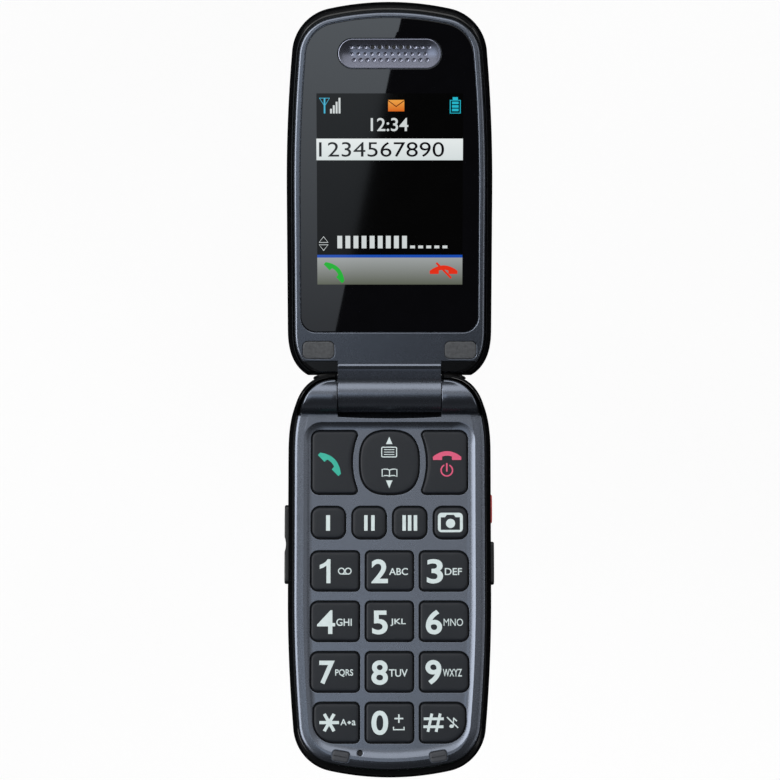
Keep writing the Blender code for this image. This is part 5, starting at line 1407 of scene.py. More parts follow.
@dataclass
class Keypad:
    """The sixteen front keys and what is printed on them."""

    dresser: Dresser
    legends: Legends
    depth: float = 0.045

    def words(self) -> dict[str, list[Word]]:
        """Digits and letter groups of the number keys, with the boxes that they fill."""
        big, small = 0.022, 0.012
        rows = (
            ("2", big, (-4.49, -3.02, -0.40, 2.91), "ABC", small, (-0.10, -0.99, 4.56, 0.73)),
            ("3", 0.019, (-4.28, -3.09, -0.25, 2.96), "DEF", small, (0.19, -0.99, 4.44, 0.73)),
            ("4", 0.006, (-4.40, -3.08, 0.08, 2.76), "GHI", small, (0.36, -1.10, 4.18, 0.70)),
            ("5", big, (-4.31, -3.20, -0.45, 2.69), "JKL", small, (0.20, -1.10, 4.03, 0.70)),
            ("6", big, (-4.54, -3.20, -0.50, 2.86), "MNO", 0.0, (-0.13, -1.10, 4.65, 0.70)),
            ("7", big, (-3.83, -2.97, 0.00, 2.81), "PQRS", small, (0.12, -1.17, 4.54, 0.70)),
            ("8", big, (-4.47, -3.14, -0.39, 2.89), "TUV", small, (-0.15, -1.14, 4.47, 0.70)),
            ("9", big, (-4.66, -3.03, -0.70, 2.98), "WXYZ", small, (-0.35, -1.09, 4.37, 0.78)),
        )
        words = {"key_" + digit: [Word(digit, box, weight), Word(group, beside, thin)]
                 for digit, weight, box, group, thin, beside in rows}
        words["key_0"] = [Word("0", (-4.46, -2.95, -0.32, 3.02), big)]
        words["star_key"] = [Word("A", (1.05, -0.56, 2.59, 0.97), small),
                             Word("a", (3.85, -0.58, 4.80, 0.63), small)]
        return words

    def shapes(self) -> dict[str, list[list[Array]]]:
        """Icons of the other keys: each a list of plates, each plate an outline and its holes."""
        line, ring = self.legends.stroke, self.legends.frame
        star = [[line([(-1.725 - 2.42 * math.cos(a), 0.1 - 2.42 * math.sin(a)),
                       (-1.725 + 2.42 * math.cos(a), 0.1 + 2.42 * math.sin(a))], 0.78)]
                for a in (0.0, math.radians(60), math.radians(120))]
        book = np.array([(-1.95, -3.62), (-1.95, -1.72), (-1.2, -1.55), (-0.45, -1.62), (0.0, -1.85),
                         (0.45, -1.62), (1.2, -1.55), (1.95, -1.72), (1.95, -3.62), (1.2, -3.42),
                         (0.45, -3.44), (0.0, -3.62), (-0.45, -3.44), (-1.2, -3.42)])[::-1]
        power = arc((0.55, -1.98), (1.42, 1.42), math.radians(122), math.radians(418), 40)
        camera = rounded_box(3.10, 2.42, (0.95,), 8, (-0.07, 0.05))
        hump = np.array([(-2.45, -1.78), (2.31, -1.78), (2.31, 1.35), (1.25, 1.35), (0.82, 1.95),
                         (-0.96, 1.95), (-1.39, 1.35), (-2.45, 1.35)])
        one = np.array([(-1.12, 2.91), (-1.86, 2.91), (-2.25, 2.35), (-2.95, 1.84), (-3.81, 1.50),
                        (-3.81, 0.52), (-2.95, 0.82), (-2.12, 1.36), (-2.12, -3.02), (-1.12, -3.02)])
        hash_lines = (((-4.72, 1.02), (0.22, 1.02), 0.66), ((-4.78, -0.92), (0.14, -0.92), 0.66),
                      ((-3.70, -2.15), (-2.70, 2.3), 0.68), ((-1.66, -2.15), (-0.66, 2.3), 0.68))
        note_lines = (((1.0, 1.45), (3.75, -1.2), 0.30), ((2.62, 1.3), (2.62, -0.75), 0.24),
                      ((2.62, 1.22), (3.45, 0.45), 0.3))
        strokes = {"hot_key_1": ((-0.58, 0.42),), "hot_key_2": ((-1.24, -0.38), (0.50, 1.37)),
                   "hot_key_3": ((-1.86, -1.0), (-0.5, 0.38), (0.94, 1.82))}
        return {
            **{name: [[bar(left, -2.0, right, 1.86)] for left, right in pairs]
               for name, pairs in strokes.items()},
            "nav_key": [[np.array([(-0.88, 4.55), (0.74, 4.55), (-0.07, 6.4)])],
                        [np.array([(-0.07, -6.45), (0.74, -4.5), (-0.88, -4.5)])],
                        ring(rounded_box(1.98, 1.34, (0.42,), 5, (-0.09, 2.56)), 0.25),
                        *[[bar(-1.38, y - 0.09, 1.2, y + 0.09)] for y in (1.95, 2.56, 3.17)],
                        ring(book, 0.25), [line([(0.0, -1.8), (0.0, -3.6)], 0.26)]],
            "end_key": [[line(power.tolist(), 0.34, True)], [line([(0.55, -0.35), (0.55, -2.15)], 0.38, True)]],
            "camera_key": [[camera, hump], [circle((-0.02, -0.18), 1.14, 40)]],
            "star_key": star + [[np.array([(2.70, 0.10), (3.22, 0.55), (3.74, 0.10), (3.22, -0.35)])]],
            "key_0": [[bar(1.2, 0.9, 3.4, 1.27)], [bar(2.12, 0.05, 2.48, 2.11)],
                      [line([(0.98, -0.92), (0.98, -1.62), (3.58, -1.62), (3.58, -0.92)], 0.28)]],
            "key_1": [[one], ring(circle((1.60, -0.02), 0.86, 36), 0.27),
                      ring(circle((3.27, -0.02), 0.86, 36), 0.27), [bar(1.6, -0.88, 3.27, -0.6)]],
            "hash_key": [*[[line([start, end], width)] for start, end, width in (*hash_lines, *note_lines)],
                         [arc((2.15, -0.78), (0.55, 0.42), 0, 2 * math.pi, 24)[:-1]]],
            "home_bar": [[rounded_box(1.3, 0.16, (0.15,), 6, (0.0, -4.1))]],
        }

    def plates(self, key: KeyShape, words: Sequence[Word], plates: Sequence[list[Array]]) -> Form:
        """Lettering and icons laid on a key's crown, as thin closed plates."""
        form = Form(Half.BASE)
        for word in words:
            unit, faces = self.legends.letters(word.text, word.weight)
            left, low, right, high = word.box
            x = key.x + left + unit[:, 0] * (right - left)
            along = key.along - low - unit[:, 1] * (high - low)
            height = key.top(x, along) + (unit[:, 2] * 2.0 - 1.0) * self.depth
            form.add(np.stack([x, along, height], axis=1), faces)
        for loops in plates:
            placed = [loop * (1, -1) + (key.x, key.along) for loop in loops]
            flat = np.concatenate(placed)
            top = key.top(flat[:, 0], flat[:, 1])
            form.plate(placed, top - self.depth, top + self.depth)
        return form

    def build(self) -> None:
        """Make and dress each key and its legends."""
        words, shapes = self.words(), self.shapes()
        keys = {key.name: key for key in key_shapes()}
        for name, key in keys.items():
            item = Form(Half.BASE).loft(key.rings()).mesh("top_" + name)
            self.dresser.wear(shade(item), "key_rubber", name, "key_rubber", [name])
            if name in words or name in shapes:
                ink = "legend_pink" if name == "end_key" else "legend_white"
                mark = self.plates(key, words.get(name, []), shapes.get(name, [])).mesh("legend_" + name)
                self.dresser.wear(mark, ink, name, "key_rubber")
        for name, ink, outline in (
            ("call_key", "legend_teal", self.legends.handset(7.4, -46.0, (-0.75, -0.02))),
            ("end_key", "legend_pink", self.legends.handset(7.1, 0.0, (0.62, 1.69))),
        ):
            mark = self.plates(keys[name], [], [[outline]]).mesh("handset_" + name)
            self.dresser.wear(mark, ink, name, "key_rubber")
        mark = self.plates(keys["key_5"], [], shapes["home_bar"]).mesh("home_bar")
        self.dresser.wear(mark, "key_rubber", "key_5", "key_rubber")


@dataclass
class SideKeys:
    """Volume rocker, side key and emergency key: caps through the side walls."""

    dresser: Dresser
    legends: Legends

    def cap(self, key: SideKey) -> Form:
        """One key: inner flange, stem, and a face that follows the side, its edge rounded."""
        soft = 0.42
        wall = self.side_line(key.along)
        outer = wall + key.proud
        rows = []
        turn = np.linspace(0, math.pi / 2, 6)
        profile = [(-0.4, outer - key.proud - 2.65), (-0.4, outer - key.proud - 1.85),
                   (0.0, outer - key.proud - 1.85)]
        profile += [(soft * (1 - math.cos(t)), outer - soft + soft * math.sin(t)) for t in turn]
        for inset, x in profile:
            radius = max(key.corner - inset, 0.15)
            half_l, half_h = key.half_l - inset, key.half_h - inset
            box = resample(rounded_box(half_l, half_h, (radius,), 8, (key.along, SIDE_KEY_HEIGHT)), 96)
            rows.append(np.column_stack([key.side * (x + (self.side_line(box[:, 0]) - wall)), box]))
        last = rows[-1]
        middle = last.mean(axis=0)
        for share in (0.8, 0.5, 0.2):
            rows.append(middle + (last - middle) * share + (key.side * 0.05 * (1 - share**2), 0, 0))
        return Form(Half.BASE).loft(np.stack(rows))

    @staticmethod
    def side_line(along: float | Array) -> float | Array:
        """Half-width of the base: straight from the shoulder, then a large arc."""
        far = np.maximum(np.asarray(along) - Plan.straight_end, 0.0)
        return np.sqrt(Plan.side_radius**2 - far**2) - Plan.side_radius + Plan.half_width

    def build(self) -> None:
        """Make the three keys and the rocker's marks."""
        for key in SIDE_KEYS:
            item = self.cap(key).mesh("cap_" + key.name)
            if key.name == "volume_rocker":
                carve(item, "DIFFERENCE", self.waist())
            self.dresser.wear(shade(item), key.finish, key.name, key.finish, [key.name])
        self.marks()

    def waist(self) -> bpy.types.Object:
        """Tool for the shallow hollow across the middle of the rocker."""
        around = circle((0.0, 0.0), 5.2, 96) + (-26.35 - 4.86, 37.6)
        return Form(Half.BASE).loft(prism(around, 2.0, 7.0)).mesh("waist_tool")

    def marks(self) -> None:
        """Plus and minus on the rocker's outer face, laid flat on it."""
        line = self.legends.stroke
        form = Form(Half.BASE)
        top = -(Plan.half_width + SIDE_KEYS[0].proud + 0.045)
        upright, level_line = ((-0.8, 0), (0.8, 0)), ((0, -0.8), (0, 0.8))
        for centre, paths in ((31.2, (upright, level_line)), (44.0, (level_line,))):
            for path in paths:
                flat = line(path, 0.3) + (0.0, centre)
                plate = Form(Half.BASE).plate([flat], -0.05, 0.03)
                points = plate.points[0]
                placed = [top - points[:, 2], points[:, 1], SIDE_KEY_HEIGHT + points[:, 0]]
                form.add(np.stack(placed, axis=1), plate.faces)
        self.dresser.wear(form.mesh("rocker_marks"), "side_mark_white", "volume_rocker", "side_key_plastic")


@dataclass
class LidCovers:
    """Lid: front cover with its tongue, outer cover, window, earpiece, pads and outer glass."""

    dresser: Dresser
    hinge: HingeForm = field(default_factory=HingeForm)
    face: float = -0.5
    glass: float = -0.55
    outside: float = -7.2
    floor: float = -6.0

    def chin_tool(self, spans: Sequence[Pair]) -> bpy.types.Object:
        """Tool that clears the chin from the ears: an arc about the axis, then the ears' backs."""
        radius, deep = 5.45, -14.0
        curve = arc((0.0, 0.0), (radius, radius), math.radians(20), math.radians(-29), 10)
        wall = smooth(((4.80, -3.0), (5.02, -3.6), (5.30, -4.7), (5.42, -6.7)), 3)
        backs = rotated(np.vstack([curve, wall, [(5.42, deep)]]), -HINGE.tilt)
        section = np.vstack([backs, [(-radius, deep), (-radius, backs[0, 1])]])
        form = Form(Half.LID)
        for low, high in spans:
            form.loft(crosswise(section, low, high))
        return form.mesh("chin_tool")

    def front(self) -> None:
        """Front cover: a frame with a rounded edge, hollow behind, and the barrel on its tongue."""
        turn = np.linspace(0, math.pi / 2, 9)
        edge = [(2.65 - 0.9 * math.cos(t), -1.4 + 0.9 * math.sin(t)) for t in turn]
        rings = swept(lambda inset: lid_ring(inset, 0.55), [(1.75, -5.7), *edge])
        cover = Form(Half.LID).loft(rings).mesh("lid_frame")
        hollow = Form(Half.LID).loft(prism(lid_area(2.75, 7.6, 1.8, 0.55), -6.7, -2.4))
        ears = self.chin_tool(((-30, -12.55), (12.55, 30)))
        carve(cover, "DIFFERENCE", hollow.mesh("hollow_tool"), ears, self.chin_seat())
        carve(cover, "UNION", Form(Half.LID).loft(self.hinge.neck()).mesh("neck"))
        bore = Form(Half.LID).loft(crosswise(circle((0.0, 0.0), 3.05, 56), -20.0, 20.0))
        carve(cover, "DIFFERENCE", bore.mesh("bore_tool"), self.seats())
        self.dresser.wear(shade(cover), "satin_front", "lid", "satin_front", ["lid_front_cover"])

    def chin_seat(self) -> bpy.types.Object:
        """Tool that ends the front cover in a crisp, faintly rounded step above the black chin."""
        form = Form(Half.LID)
        rows = ((0.0, -2.2), (0.0, -0.62), (0.03, -0.55), (0.10, -0.51), (0.18, self.face), (0.18, 0.6))
        for side in (-1, 1):
            form.loft(np.stack([level(bar(12.9, 0.0, 27.0, 7.95 + margin) * (side, 1), w)
                                for margin, w in rows]))
        return form.mesh("chin_seat")

    def chin(self) -> None:
        """Black chin to both sides of the barrel: the lid's edge form, a little lower than the frame."""
        turn = np.linspace(0, math.pi / 2, 9)
        edge = [(2.55 - 1.1 * math.cos(t), -1.75 + 1.15 * math.sin(t)) for t in turn]
        item = Form(Half.LID).loft(swept(lid_ring, [(1.45, -2.12), *edge])).mesh("chin_black")
        keep = Form(Half.LID)
        for side in (-1, 1):
            keep.loft(prism(bar(12.95, 0.0, 27.0, 7.88) * (side, 1), -2.12, 0.6))
        carve(item, "INTERSECT", keep.mesh("chin_box"))
        carve(item, "DIFFERENCE", self.chin_tool(((-30, 30),)))
        self.dresser.wear(shade(item), "gloss_black", "lid", "gloss_black")

    @staticmethod
    def window_outline(margin: float) -> Array:
        """Outline of the window, grown by a margin."""
        return lid_area(3.5 - margin, 15.3 - margin, 3.7 + margin, 0.5)

    def seats(self) -> bpy.types.Object:
        """Tool for the window's and pads' seats, with fine soft rims, and the openings behind."""
        rim = ((0.16, -1.75), (0.16, -0.68), (0.19, -0.58), (0.26, -0.52), (0.36, self.face), (0.36, 0.6))
        form = Form(Half.LID).loft(swept(self.window_outline, rim))
        for opening, steps in ((DISPLAY_OPENING, 4), (EARPIECE_SLOT, 10)):
            form.loft(opening.rings(((0.0, -3.4), (0.0, -1.5)), steps))
        rim = ((0.12, -1.25), (0.12, -0.62), (0.15, -0.55), (0.24, self.face), (0.24, 0.6))
        sink = ((1.05, -3.4), (1.05, -2.0), (1.75, -2.0), (1.75, -1.0))
        for pad in PADS.values():
            form.loft(pad.rings(rim, 10)).loft(turned(sink, pad.centre, 40))
        return form.mesh("seat_tool")

    def outer(self) -> None:
        """Outer cover: a bowl with a bulging side, screw bosses and the seats on its back."""
        side = smooth(((3.2, self.outside), (2.3, -7.06), (1.42, -6.72), (0.544, -6.004), (0.06, -4.95),
                       (0.0, -4.45), (0.096, -3.196), (0.40, -2.55), (0.78, -1.92), (1.18, -1.30)), 4)
        profile = [*side.tolist(), (1.27, -1.20), (1.37, -1.20), (1.44, -1.26), (1.45, -1.40),
                   (1.45, self.floor)]
        rings = [level(lid_ring(inset, 0.55 * ramp(inset, 0.8, 1.3) * ramp(w, -6.6, -6.1)), w)
                 for inset, w in profile]
        cover = Form(Half.LID).loft(np.stack(rings)).mesh("lid_shell")
        posts, holes = Form(Half.LID), Form(Half.LID)
        for pad in PADS.values():
            posts.loft(turned(((1.9, -6.6), (1.9, -2.65)), pad.centre, 40))
            holes.loft(turned(((1.05, -6.0), (1.05, -1.4)), pad.centre, 32))
        carve(cover, "UNION", posts.mesh("posts"))
        carve(cover, "DIFFERENCE", holes.mesh("post_holes"), self.chin_tool(((-30, 30),)), self.back_seats())
        self.dresser.wear(shade(cover), "gloss_black", "lid", "gloss_black", ["lid_outer_cover"])

    def back_seats(self) -> bpy.types.Object:
        """Tool for the seats and openings of the outer window and the camera window."""
        lip = ((0.14, -6.4), (0.14, -7.08), (0.17, -7.16), (0.26, self.outside), (0.26, -8.2))
        form = Form(Half.LID).loft(OUTER_WINDOW.rings(lip, 12))
        form.loft(turned([(CAMERA_RADIUS + m, w) for m, w in lip], CAMERA_PLACE, 72))
        form.loft(OUTER_OPENING.rings(((0.0, -6.65), (0.0, -5.0)), 4))
        form.loft(turned(((2.75, -6.65), (2.75, -5.0)), CAMERA_PLACE, 48))
        return form.mesh("back_seat_tool")

    def window(self) -> None:
        """Window glass: flat, its edge softened, with the earpiece's hole through it."""
        rows = ((0.0, -1.5), (0.0, -0.70), (-0.03, -0.62), (-0.09, -0.565), (-0.20, self.glass))
        glass = Form(Half.LID).loft(swept(self.window_outline, rows)).mesh("window")
        lip = ((0.12, -2.0), (0.12, -0.66), (0.16, -0.58), (0.26, self.glass), (0.26, 0.5))
        carve(glass, "DIFFERENCE", Form(Half.LID).loft(EARPIECE.rings(lip, 20)).mesh("earpiece_hole"))
        self.dresser.wear(shade(glass), "window_black_glass", "lid", "window_black_glass", ["window_glass"])

    def earpiece(self) -> None:
        """Earpiece: a dished bar with three rows of bowls, the middle ones open to the receiver."""
        dished = [(-m, -1.06 + 0.42 * ((3.55 - m) / 3.29) ** 2)
                  for m in (0.30, 0.5, 0.8, 1.2, 1.6, 2.0, 2.4, 2.8, 3.2)]
        rows = ((0.0, -1.4), (0.0, -0.74), (-0.05, -0.66), (-0.14, -0.62), *dished)
        item = Form(Half.LID).loft(EARPIECE.rings(rows, 20)).mesh("earpiece")
        hole = ((0.5, -1.27), (0.5, -1.06), (0.56, -1.0), (0.66, -0.965), (0.66, -0.5))
        bowl = [(0.54 * math.sin(t), -0.99 - 0.30 * math.cos(t)) for t in np.linspace(0.12, math.pi / 2, 5)]
        bowl += [(0.60, -0.975), (0.60, -0.5)]
        bowls, holes, cloth = Form(Half.LID), Form(Half.LID), Form(Half.LID)
        for along, first, last, open_ones in ((85.33, -9.27, 9.71, range(3, 9)), (83.64, -9.23, 8.74, ()),
                                              (82.22, -8.62, 9.23, ())):
            for index, x in enumerate(np.linspace(first, last, 12)):
                if index in open_ones:
                    holes.loft(turned(hole, (x, along), 18))
                    cloth.loft(turned(((0.49, -1.30), (0.49, -1.24), (0.2, -1.22)), (x, along), 14))
                else:
                    bowls.loft(turned(bowl, (x, along), 18))
        carve(item, "DIFFERENCE", bowls.mesh("bowl_tool"), holes.mesh("hole_tool"))
        self.dresser.wear(shade(item), "silver_mesh", "lid", "silver_mesh", ["earpiece_grille"])
        self.dresser.wear(cloth.mesh("earpiece_cloth"), "grille_hole", "lid", "sounder_black")

    def pads(self) -> None:
        """Chin pads: rounded rubber bars over the lid's screws."""
        rows = ((0.0, -1.0), (0.0, -0.60), (-0.04, -0.50), (-0.13, -0.43), (-0.30, -0.405))
        for side, name in ((-1, "chin_pad_left"), (1, "chin_pad_right")):
            rings = list(PADS[side].rings(rows, 12))
            rim, middle = rings[-1], np.array((*PADS[side].centre, -0.40))
            rings += [middle + (rim - middle) * s for s in (0.8, 0.5, 0.2)]
            pad = Form(Half.LID).loft(np.stack(rings)).mesh("rubber_" + name)
            self.dresser.wear(shade(pad), "pad_rubber", "lid", "pad_rubber", [name])

    def back_glass(self) -> None:
        """Outer window and camera window, with the camera's ring and lens."""
        rows = ((0.0, -6.65), (0.0, -7.05), (-0.05, -7.12), (-0.16, -7.15))
        camera = turned([(CAMERA_RADIUS + m, w) for m, w in rows], CAMERA_PLACE, 80)
        for rings, name, node in ((OUTER_WINDOW.rings(rows, 14), "outer_glass", "outer_window"),
                                  (camera, "camera_glass", "camera_window")):
            item = shade(Form(Half.LID).loft(rings).mesh(name))
            self.dresser.wear(item, "outer_black_glass", "lid", "window_black_glass", [node])
        ring = ((2.05, -7.14), (2.05, -7.20), (2.2, -7.22), (3.3, -7.22), (3.5, -7.19), (3.55, -7.14))
        form = Form(Half.LID).loft(turned(ring, CAMERA_PLACE, 80), caps=False, loop=True)
        self.dresser.wear(shade(form.mesh("camera_ring")), "screw_steel", "lid", "steel")
        turn = np.linspace(0.1, 1.0, 8)
        lens = [(0.0001 + 1.9 * math.sin(t), -7.19 + 0.10 * (1 - math.cos(t))) for t in turn]
        form = Form(Half.LID).loft(turned([*lens, (1.6, -7.1)], CAMERA_PLACE, 48))
        self.dresser.wear(shade(form.mesh("camera_lens")), "window_black_glass", "lid", "window_black_glass")

    def build(self) -> None:
        """Make and dress every piece of the lid's outside."""
        self.front()
        self.outer()
        self.chin()
        self.window()
        self.earpiece()
        self.pads()
        self.back_glass()


@dataclass
class Screen:
    """What the display shows: status icons, a number, softkey bars and call signs."""

    dresser: Dresser
    legends: Legends
    low: float = -0.552
    high: float = -0.540

    def show(self, name: str, recipe: Pixels, loops: Sequence[Sequence[Array]] = (),
             words: Sequence[Word] = (), lift: float = 0.0) -> None:
        """Lay plates and lettering of one colour on the display.

        Args:
            name: Name of the piece.
            recipe: Its colour.
            loops: Plates, each an outline and its holes.
            words: Lettering with its boxes, in lid millimetres.
            lift: Extra height over what lies under it.
        """
        form = Form(Half.LID)
        for plate in loops:
            form.plate(list(plate), self.low, self.high + lift)
        for word in words:
            unit, faces = self.legends.letters(word.text, word.weight)
            left, low, right, high = word.box
            height = self.low + unit[:, 2] * (self.high + lift - self.low)
            x, y = left + unit[:, 0] * (right - left), low + unit[:, 1] * (high - low)
            form.add(np.stack([x, y, height], axis=1), faces)
        self.dresser.finishes.add(recipe)
        self.dresser.wear(form.mesh(name), recipe.name, "lid", "display_black")

    def build(self) -> None:
        """Lay everything on the display, brightest last."""
        left, right, low, above = -17.88, 18.04, 27.2, 0.012
        line, frame = self.legends.stroke, self.legends.frame
        panel = Form(Half.LID).plate([bar(left, low, right, 74.2)], -0.556, -0.5475)
        self.dresser.wear(panel.mesh("screen_panel"), "screen_glass", "lid", "display_black")
        white, grey = (0.62, 0.66, 0.66), (0.34, 0.36, 0.36)
        aerial = frame(np.array([(-17.25, 73.11), (-15.9, 71.0), (-14.55, 73.11)]), 0.26)
        strength = [[bar(x, 69.32, x + 0.47, top)] for x, top in
                    ((-14.56, 70.46), (-13.87, 71.31), (-13.18, 72.16), (-12.48, 73.11))]
        mast = [bar(-16.1, 69.32, -15.7, 73.0)]
        self.show("screen_aerial", Pixels("screen_white", white), strength)
        self.show("screen_mast", Pixels("screen_mast_cyan", (0.05, 0.42, 0.60)), [aerial, mast])
        arrows = [frame(np.array([(-17.5, 37.6), (-15.1, 37.6), (-16.3, 39.2)]), 0.22),
                  frame(np.array([(-17.5, 37.15), (-16.3, 35.55), (-15.1, 37.15)]), 0.22)]
        self.show("screen_arrows", Pixels("screen_arrow_white", white), arrows)
        orange = Pixels("screen_orange", (0.62, 0.11, 0.008), (0.86, 0.36, 0.06), (69.8, 72.6))
        self.show("screen_envelope", orange, [[bar(-0.34, 69.83, 3.62, 72.6)]])
        flap = line([(-0.34, 72.45), (1.64, 71.0), (3.62, 72.45)], 0.2)
        self.show("screen_flap", Pixels("screen_flap_brown", (0.09, 0.012, 0.002)), [[flap]], (), above)
        battery = [frame(bar(14.76, 69.32, 17.42, 72.6), 0.26), [bar(15.45, 72.5, 16.73, 73.28)]]
        battery += [[bar(15.28, y, 16.90, y + 0.62)] for y in (69.86, 70.72, 71.58)]
        self.show("screen_battery", Pixels("screen_cyan", (0.02, 0.46, 0.58)), battery)
        clock = Word("12:34", (-4.6, 64.99, 4.6, 68.23), 0.01)
        self.show("screen_clock", Pixels("screen_clock_white", white), (), [clock])
        pale = Pixels("screen_bar_white", (0.66, 0.72, 0.72), (0.78, 0.82, 0.82), (57.9, 63.2))
        self.show("screen_bar", pale, [[bar(-17.94, 57.91, 18.02, 63.19)]])
        number = Word("1234567890", (-17.3, 58.75, 13.4, 62.35), 0.0)
        self.show("screen_number", Pixels("screen_number_black", (0.004, 0.004, 0.005)), (), [number], above)
        volume = [[bar(-12.9 + 2.0 * index, 36.2, -11.7 + 2.0 * index, 39.3 if index < 9 else 36.9)]
                  for index in range(14)]
        self.show("screen_volume", Pixels("screen_volume_white", white), volume)
        self.show("screen_rule", Pixels("screen_blue", (0.01, 0.07, 0.42)), [[bar(left, 33.9, right, 34.59)]])
        self.show("screen_footer", Pixels("screen_footer_grey", (0.10, 0.11, 0.08), grey, (low, 33.9)),
                  [[bar(left, low, right, 33.9)]])
        call = self.legends.handset(6.6, -46.0, (-13.3, 30.6))
        self.show("screen_call", Pixels("screen_green", (0.01, 0.42, 0.03)), [[call]], (), above)
        end = self.legends.handset(6.9, 0.0, (13.4, 30.9))
        cross = line([(11.6, 32.6), (15.3, 28.8)], 0.5)
        self.show("screen_end", Pixels("screen_red", (0.75, 0.03, 0.01)), [[end], [cross]], (), above)


@dataclass
class InnerPieces:
    """CAD nodes that are kept as they are inside the phone, with their own finishes."""

    dresser: Dresser
    finishes: tuple[tuple[str, str], ...] = (
        ("main_board", "board_green"), ("dome_sheet", "dome_steel_sheet"), ("keypad_mat", "mat_silicone"),
        ("battery", "battery_case"), ("loudspeaker", "sounder_black"), ("microphone", "sounder_black"),
        ("vibration_motor", "steel"), ("sim_holder", "steel"), ("charging_socket", "steel"),
        ("antenna", "antenna_copper"), ("battery_contacts", "contact_gold"),
        ("display_module", "display_black"), ("earpiece_speaker", "sounder_black"),
        ("lid_screw_left", "screw_steel"), ("lid_screw_right", "screw_steel"), ("lid_board", "board_green"),
        ("camera_module", "sounder_black"), ("outer_display", "display_black"),
        ("hinge_cartridge", "steel"), ("hinge_bush", "steel"),
    )

    def build(self) -> None:
        """Put the finishes on the nodes."""
        for node, finish in self.finishes:
            self.dresser.keep(node, finish)


@dataclass(frozen=True)
class Panel:
    """One soft light: where it is, what it looks at, its size and how bright it is."""

    name: str
    position: tuple[float, float, float]
    target: tuple[float, float, float]
    size: Pair
    radiance: float
    colour: Colour = (1.0, 1.0, 1.0)

    def build(self) -> None:
        """Area light whose power gives the radiance: radiance times its area times pi."""
        data = bpy.data.lights.new(self.name, "AREA")
        data.shape, data.size, data.size_y = "RECTANGLE", *self.size
        data.energy = self.radiance * self.size[0] * self.size[1] * math.pi
        data.color = self.colour
        lamp = new_object(self.name, data)
        lamp.location = self.position
        aim = Vector(self.target) - Vector(self.position)
        lamp.rotation_euler = aim.to_track_quat("-Z", "Y").to_euler()


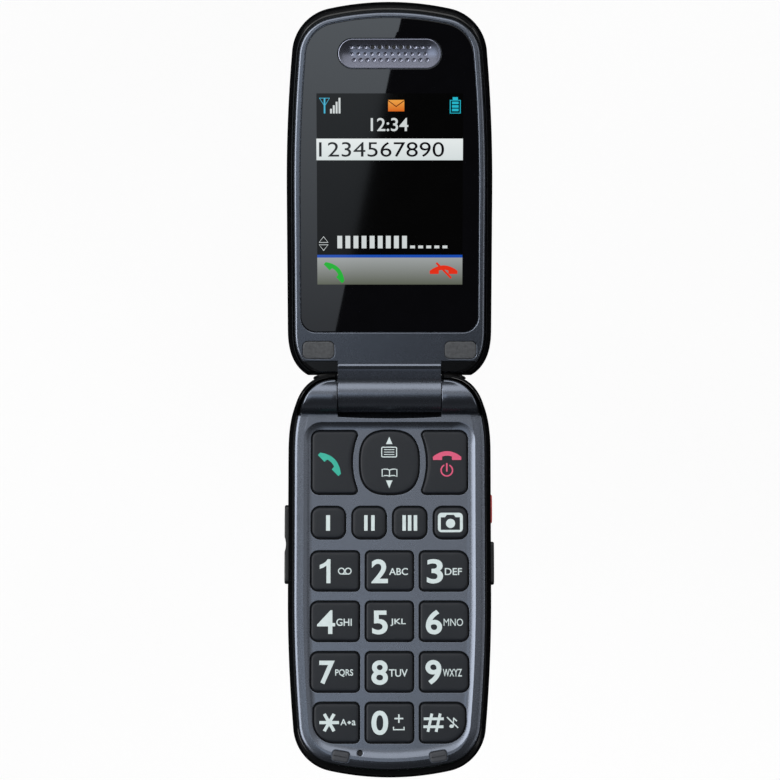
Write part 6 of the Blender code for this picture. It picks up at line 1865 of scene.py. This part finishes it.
@dataclass
class Studio:
    """Floor, soft lights, surroundings and the camera at the photograph's angle."""

    distance: float = 0.540
    elevation: float = math.radians(84.5)
    field: float = math.radians(20.46)
    rise: float = 0.00075
    aside: float = 0.00012

    def floor(self) -> None:
        """Pale floor, a broad disc with a faint unevenness, which glossy sides don't mirror."""
        rows = [(radius, -0.02) for radius in (4000.0, 2000.0, 800.0, 10.0)]
        form = Form(Half.BASE).loft(turned(rows, (0.0, 0.0), 64))
        graph = Graph("floor_white")
        tone = graph.blend(graph.noise(3.0), (0.86, 0.86, 0.86), (0.90, 0.90, 0.90))
        material = graph.finish(Base_Color=tone, Roughness=0.9, Specular_IOR_Level=0.0,
                                Emission_Color=(1.0, 1.0, 1.0, 1.0), Emission_Strength=0.22)
        item = form.mesh("floor")
        item.data.materials.append(material)
        item.visible_glossy = False

    def world(self) -> None:
        """Surroundings by direction: dark below, pale just over the horizon, dim overhead."""
        world = bpy.data.worlds.new("surroundings")
        world.use_nodes = True
        bpy.context.scene.world = world
        tree = world.node_tree
        place = tree.nodes.new("ShaderNodeTexCoord")
        split = tree.nodes.new("ShaderNodeSeparateXYZ")
        lift = tree.nodes.new("ShaderNodeMapRange")
        colours = tree.nodes.new("ShaderNodeValToRGB")
        lift.inputs["From Min"].default_value = -1.0
        tones = ((0.0, 0.01), (0.49, 0.01), (0.53, 0.21), (0.62, 0.13), (0.80, 0.05), (1.0, 0.03))
        fill_ramp(colours, [(at, (tone, tone * 1.01, tone * 1.04)) for at, tone in tones])
        tree.links.new(place.outputs["Generated"], split.inputs[0])
        tree.links.new(split.outputs["Z"], lift.inputs["Value"])
        tree.links.new(lift.outputs[0], colours.inputs[0])
        tree.links.new(colours.outputs["Color"], tree.nodes["Background"].inputs["Color"])

    def lights(self) -> None:
        """Soft light beyond the lid, a strong one at the left, weaker ones overhead and at the right."""
        origin = (0.0, 0.0, 0.0)
        for panel in (
            Panel("beyond", (0.0, 0.81, 1.10), (0.0, 0.045, 0.01), (1.3, 0.88), 3.0),
            Panel("overhead", (0.0, 0.10, 1.25), (0.0, 0.10, 0.01), (0.96, 0.54), 1.12),
            Panel("left", (-0.93, 0.10, 0.80), origin, (1.6, 0.80), 5.8),
            Panel("right_low", (1.10, 0.10, 0.42), origin, (1.6, 0.22), 3.0),
            Panel("right_high", (0.76, 0.10, 0.86), origin, (1.6, 0.46), 1.0),
        ):
            panel.build()

    def card(self) -> None:
        """Slanted card mirrored by the window: its right edge is the edge seen on the glass."""
        points = np.array([(-0.30, -0.02), (0.0163, -0.02), (-0.0462, -0.327), (-0.30, -0.327)])
        data = bpy.data.meshes.new("window_card")
        data.from_pydata([(x, y, 0.8) for x, y in points.tolist()], [], [(0, 1, 2, 3)])
        item = new_object("window_card", data)
        graph = Graph("card_light")
        share = ((graph.place("Y") + 0.28) * (1 / 0.22)).clip()
        glow = graph.blend(share, (0.30, 0.325, 0.36), (0.90, 1.0, 1.10))
        data.materials.append(graph.finish(
            Base_Color=(0.0, 0.0, 0.0, 1.0), Roughness=1.0, Specular_IOR_Level=0.0,
            Emission_Color=glow, Emission_Strength=2.3))

    def camera(self) -> None:
        """Camera looking down at the hinge axis, a little above it on the picture."""
        back = Vector((0.0, -math.cos(self.elevation), math.sin(self.elevation)))
        up = Vector((0.0, math.sin(self.elevation), math.cos(self.elevation)))
        aim = Vector((self.aside, HINGE.y * MM, HINGE.height * MM)) + up * self.rise
        data = bpy.data.cameras.new("camera")
        data.sensor_fit, data.angle = "HORIZONTAL", self.field
        data.clip_start = 0.01
        item = new_object("camera", data)
        item.location = aim + back * self.distance
        item.rotation_euler = (math.pi / 2 - self.elevation, 0.0, 0.0)
        bpy.context.scene.camera = item

    def build(self) -> None:
        """Set up the scene round the phone."""
        self.floor()
        self.world()
        self.lights()
        self.card()
        self.camera()
        bpy.context.scene.view_settings.view_transform = "Standard"


def main() -> None:
    """Load the frame, build every sub-assembly in order, and log how many pieces were made."""
    logging.basicConfig(level=logging.INFO, format="%(name)s: %(message)s")
    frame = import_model()
    dresser = Dresser(Finishes(), frame["nodes"])
    legends = Legends()
    for assembly in (
        BaseCovers(dresser), Keypad(dresser, legends), SideKeys(dresser, legends), LidCovers(dresser),
        Screen(dresser, legends), InnerPieces(dresser), Studio(),
    ):
        assembly.build()
    LOG.info("%d pieces made", len(dresser.done))


if __name__ == "__main__":
    main()
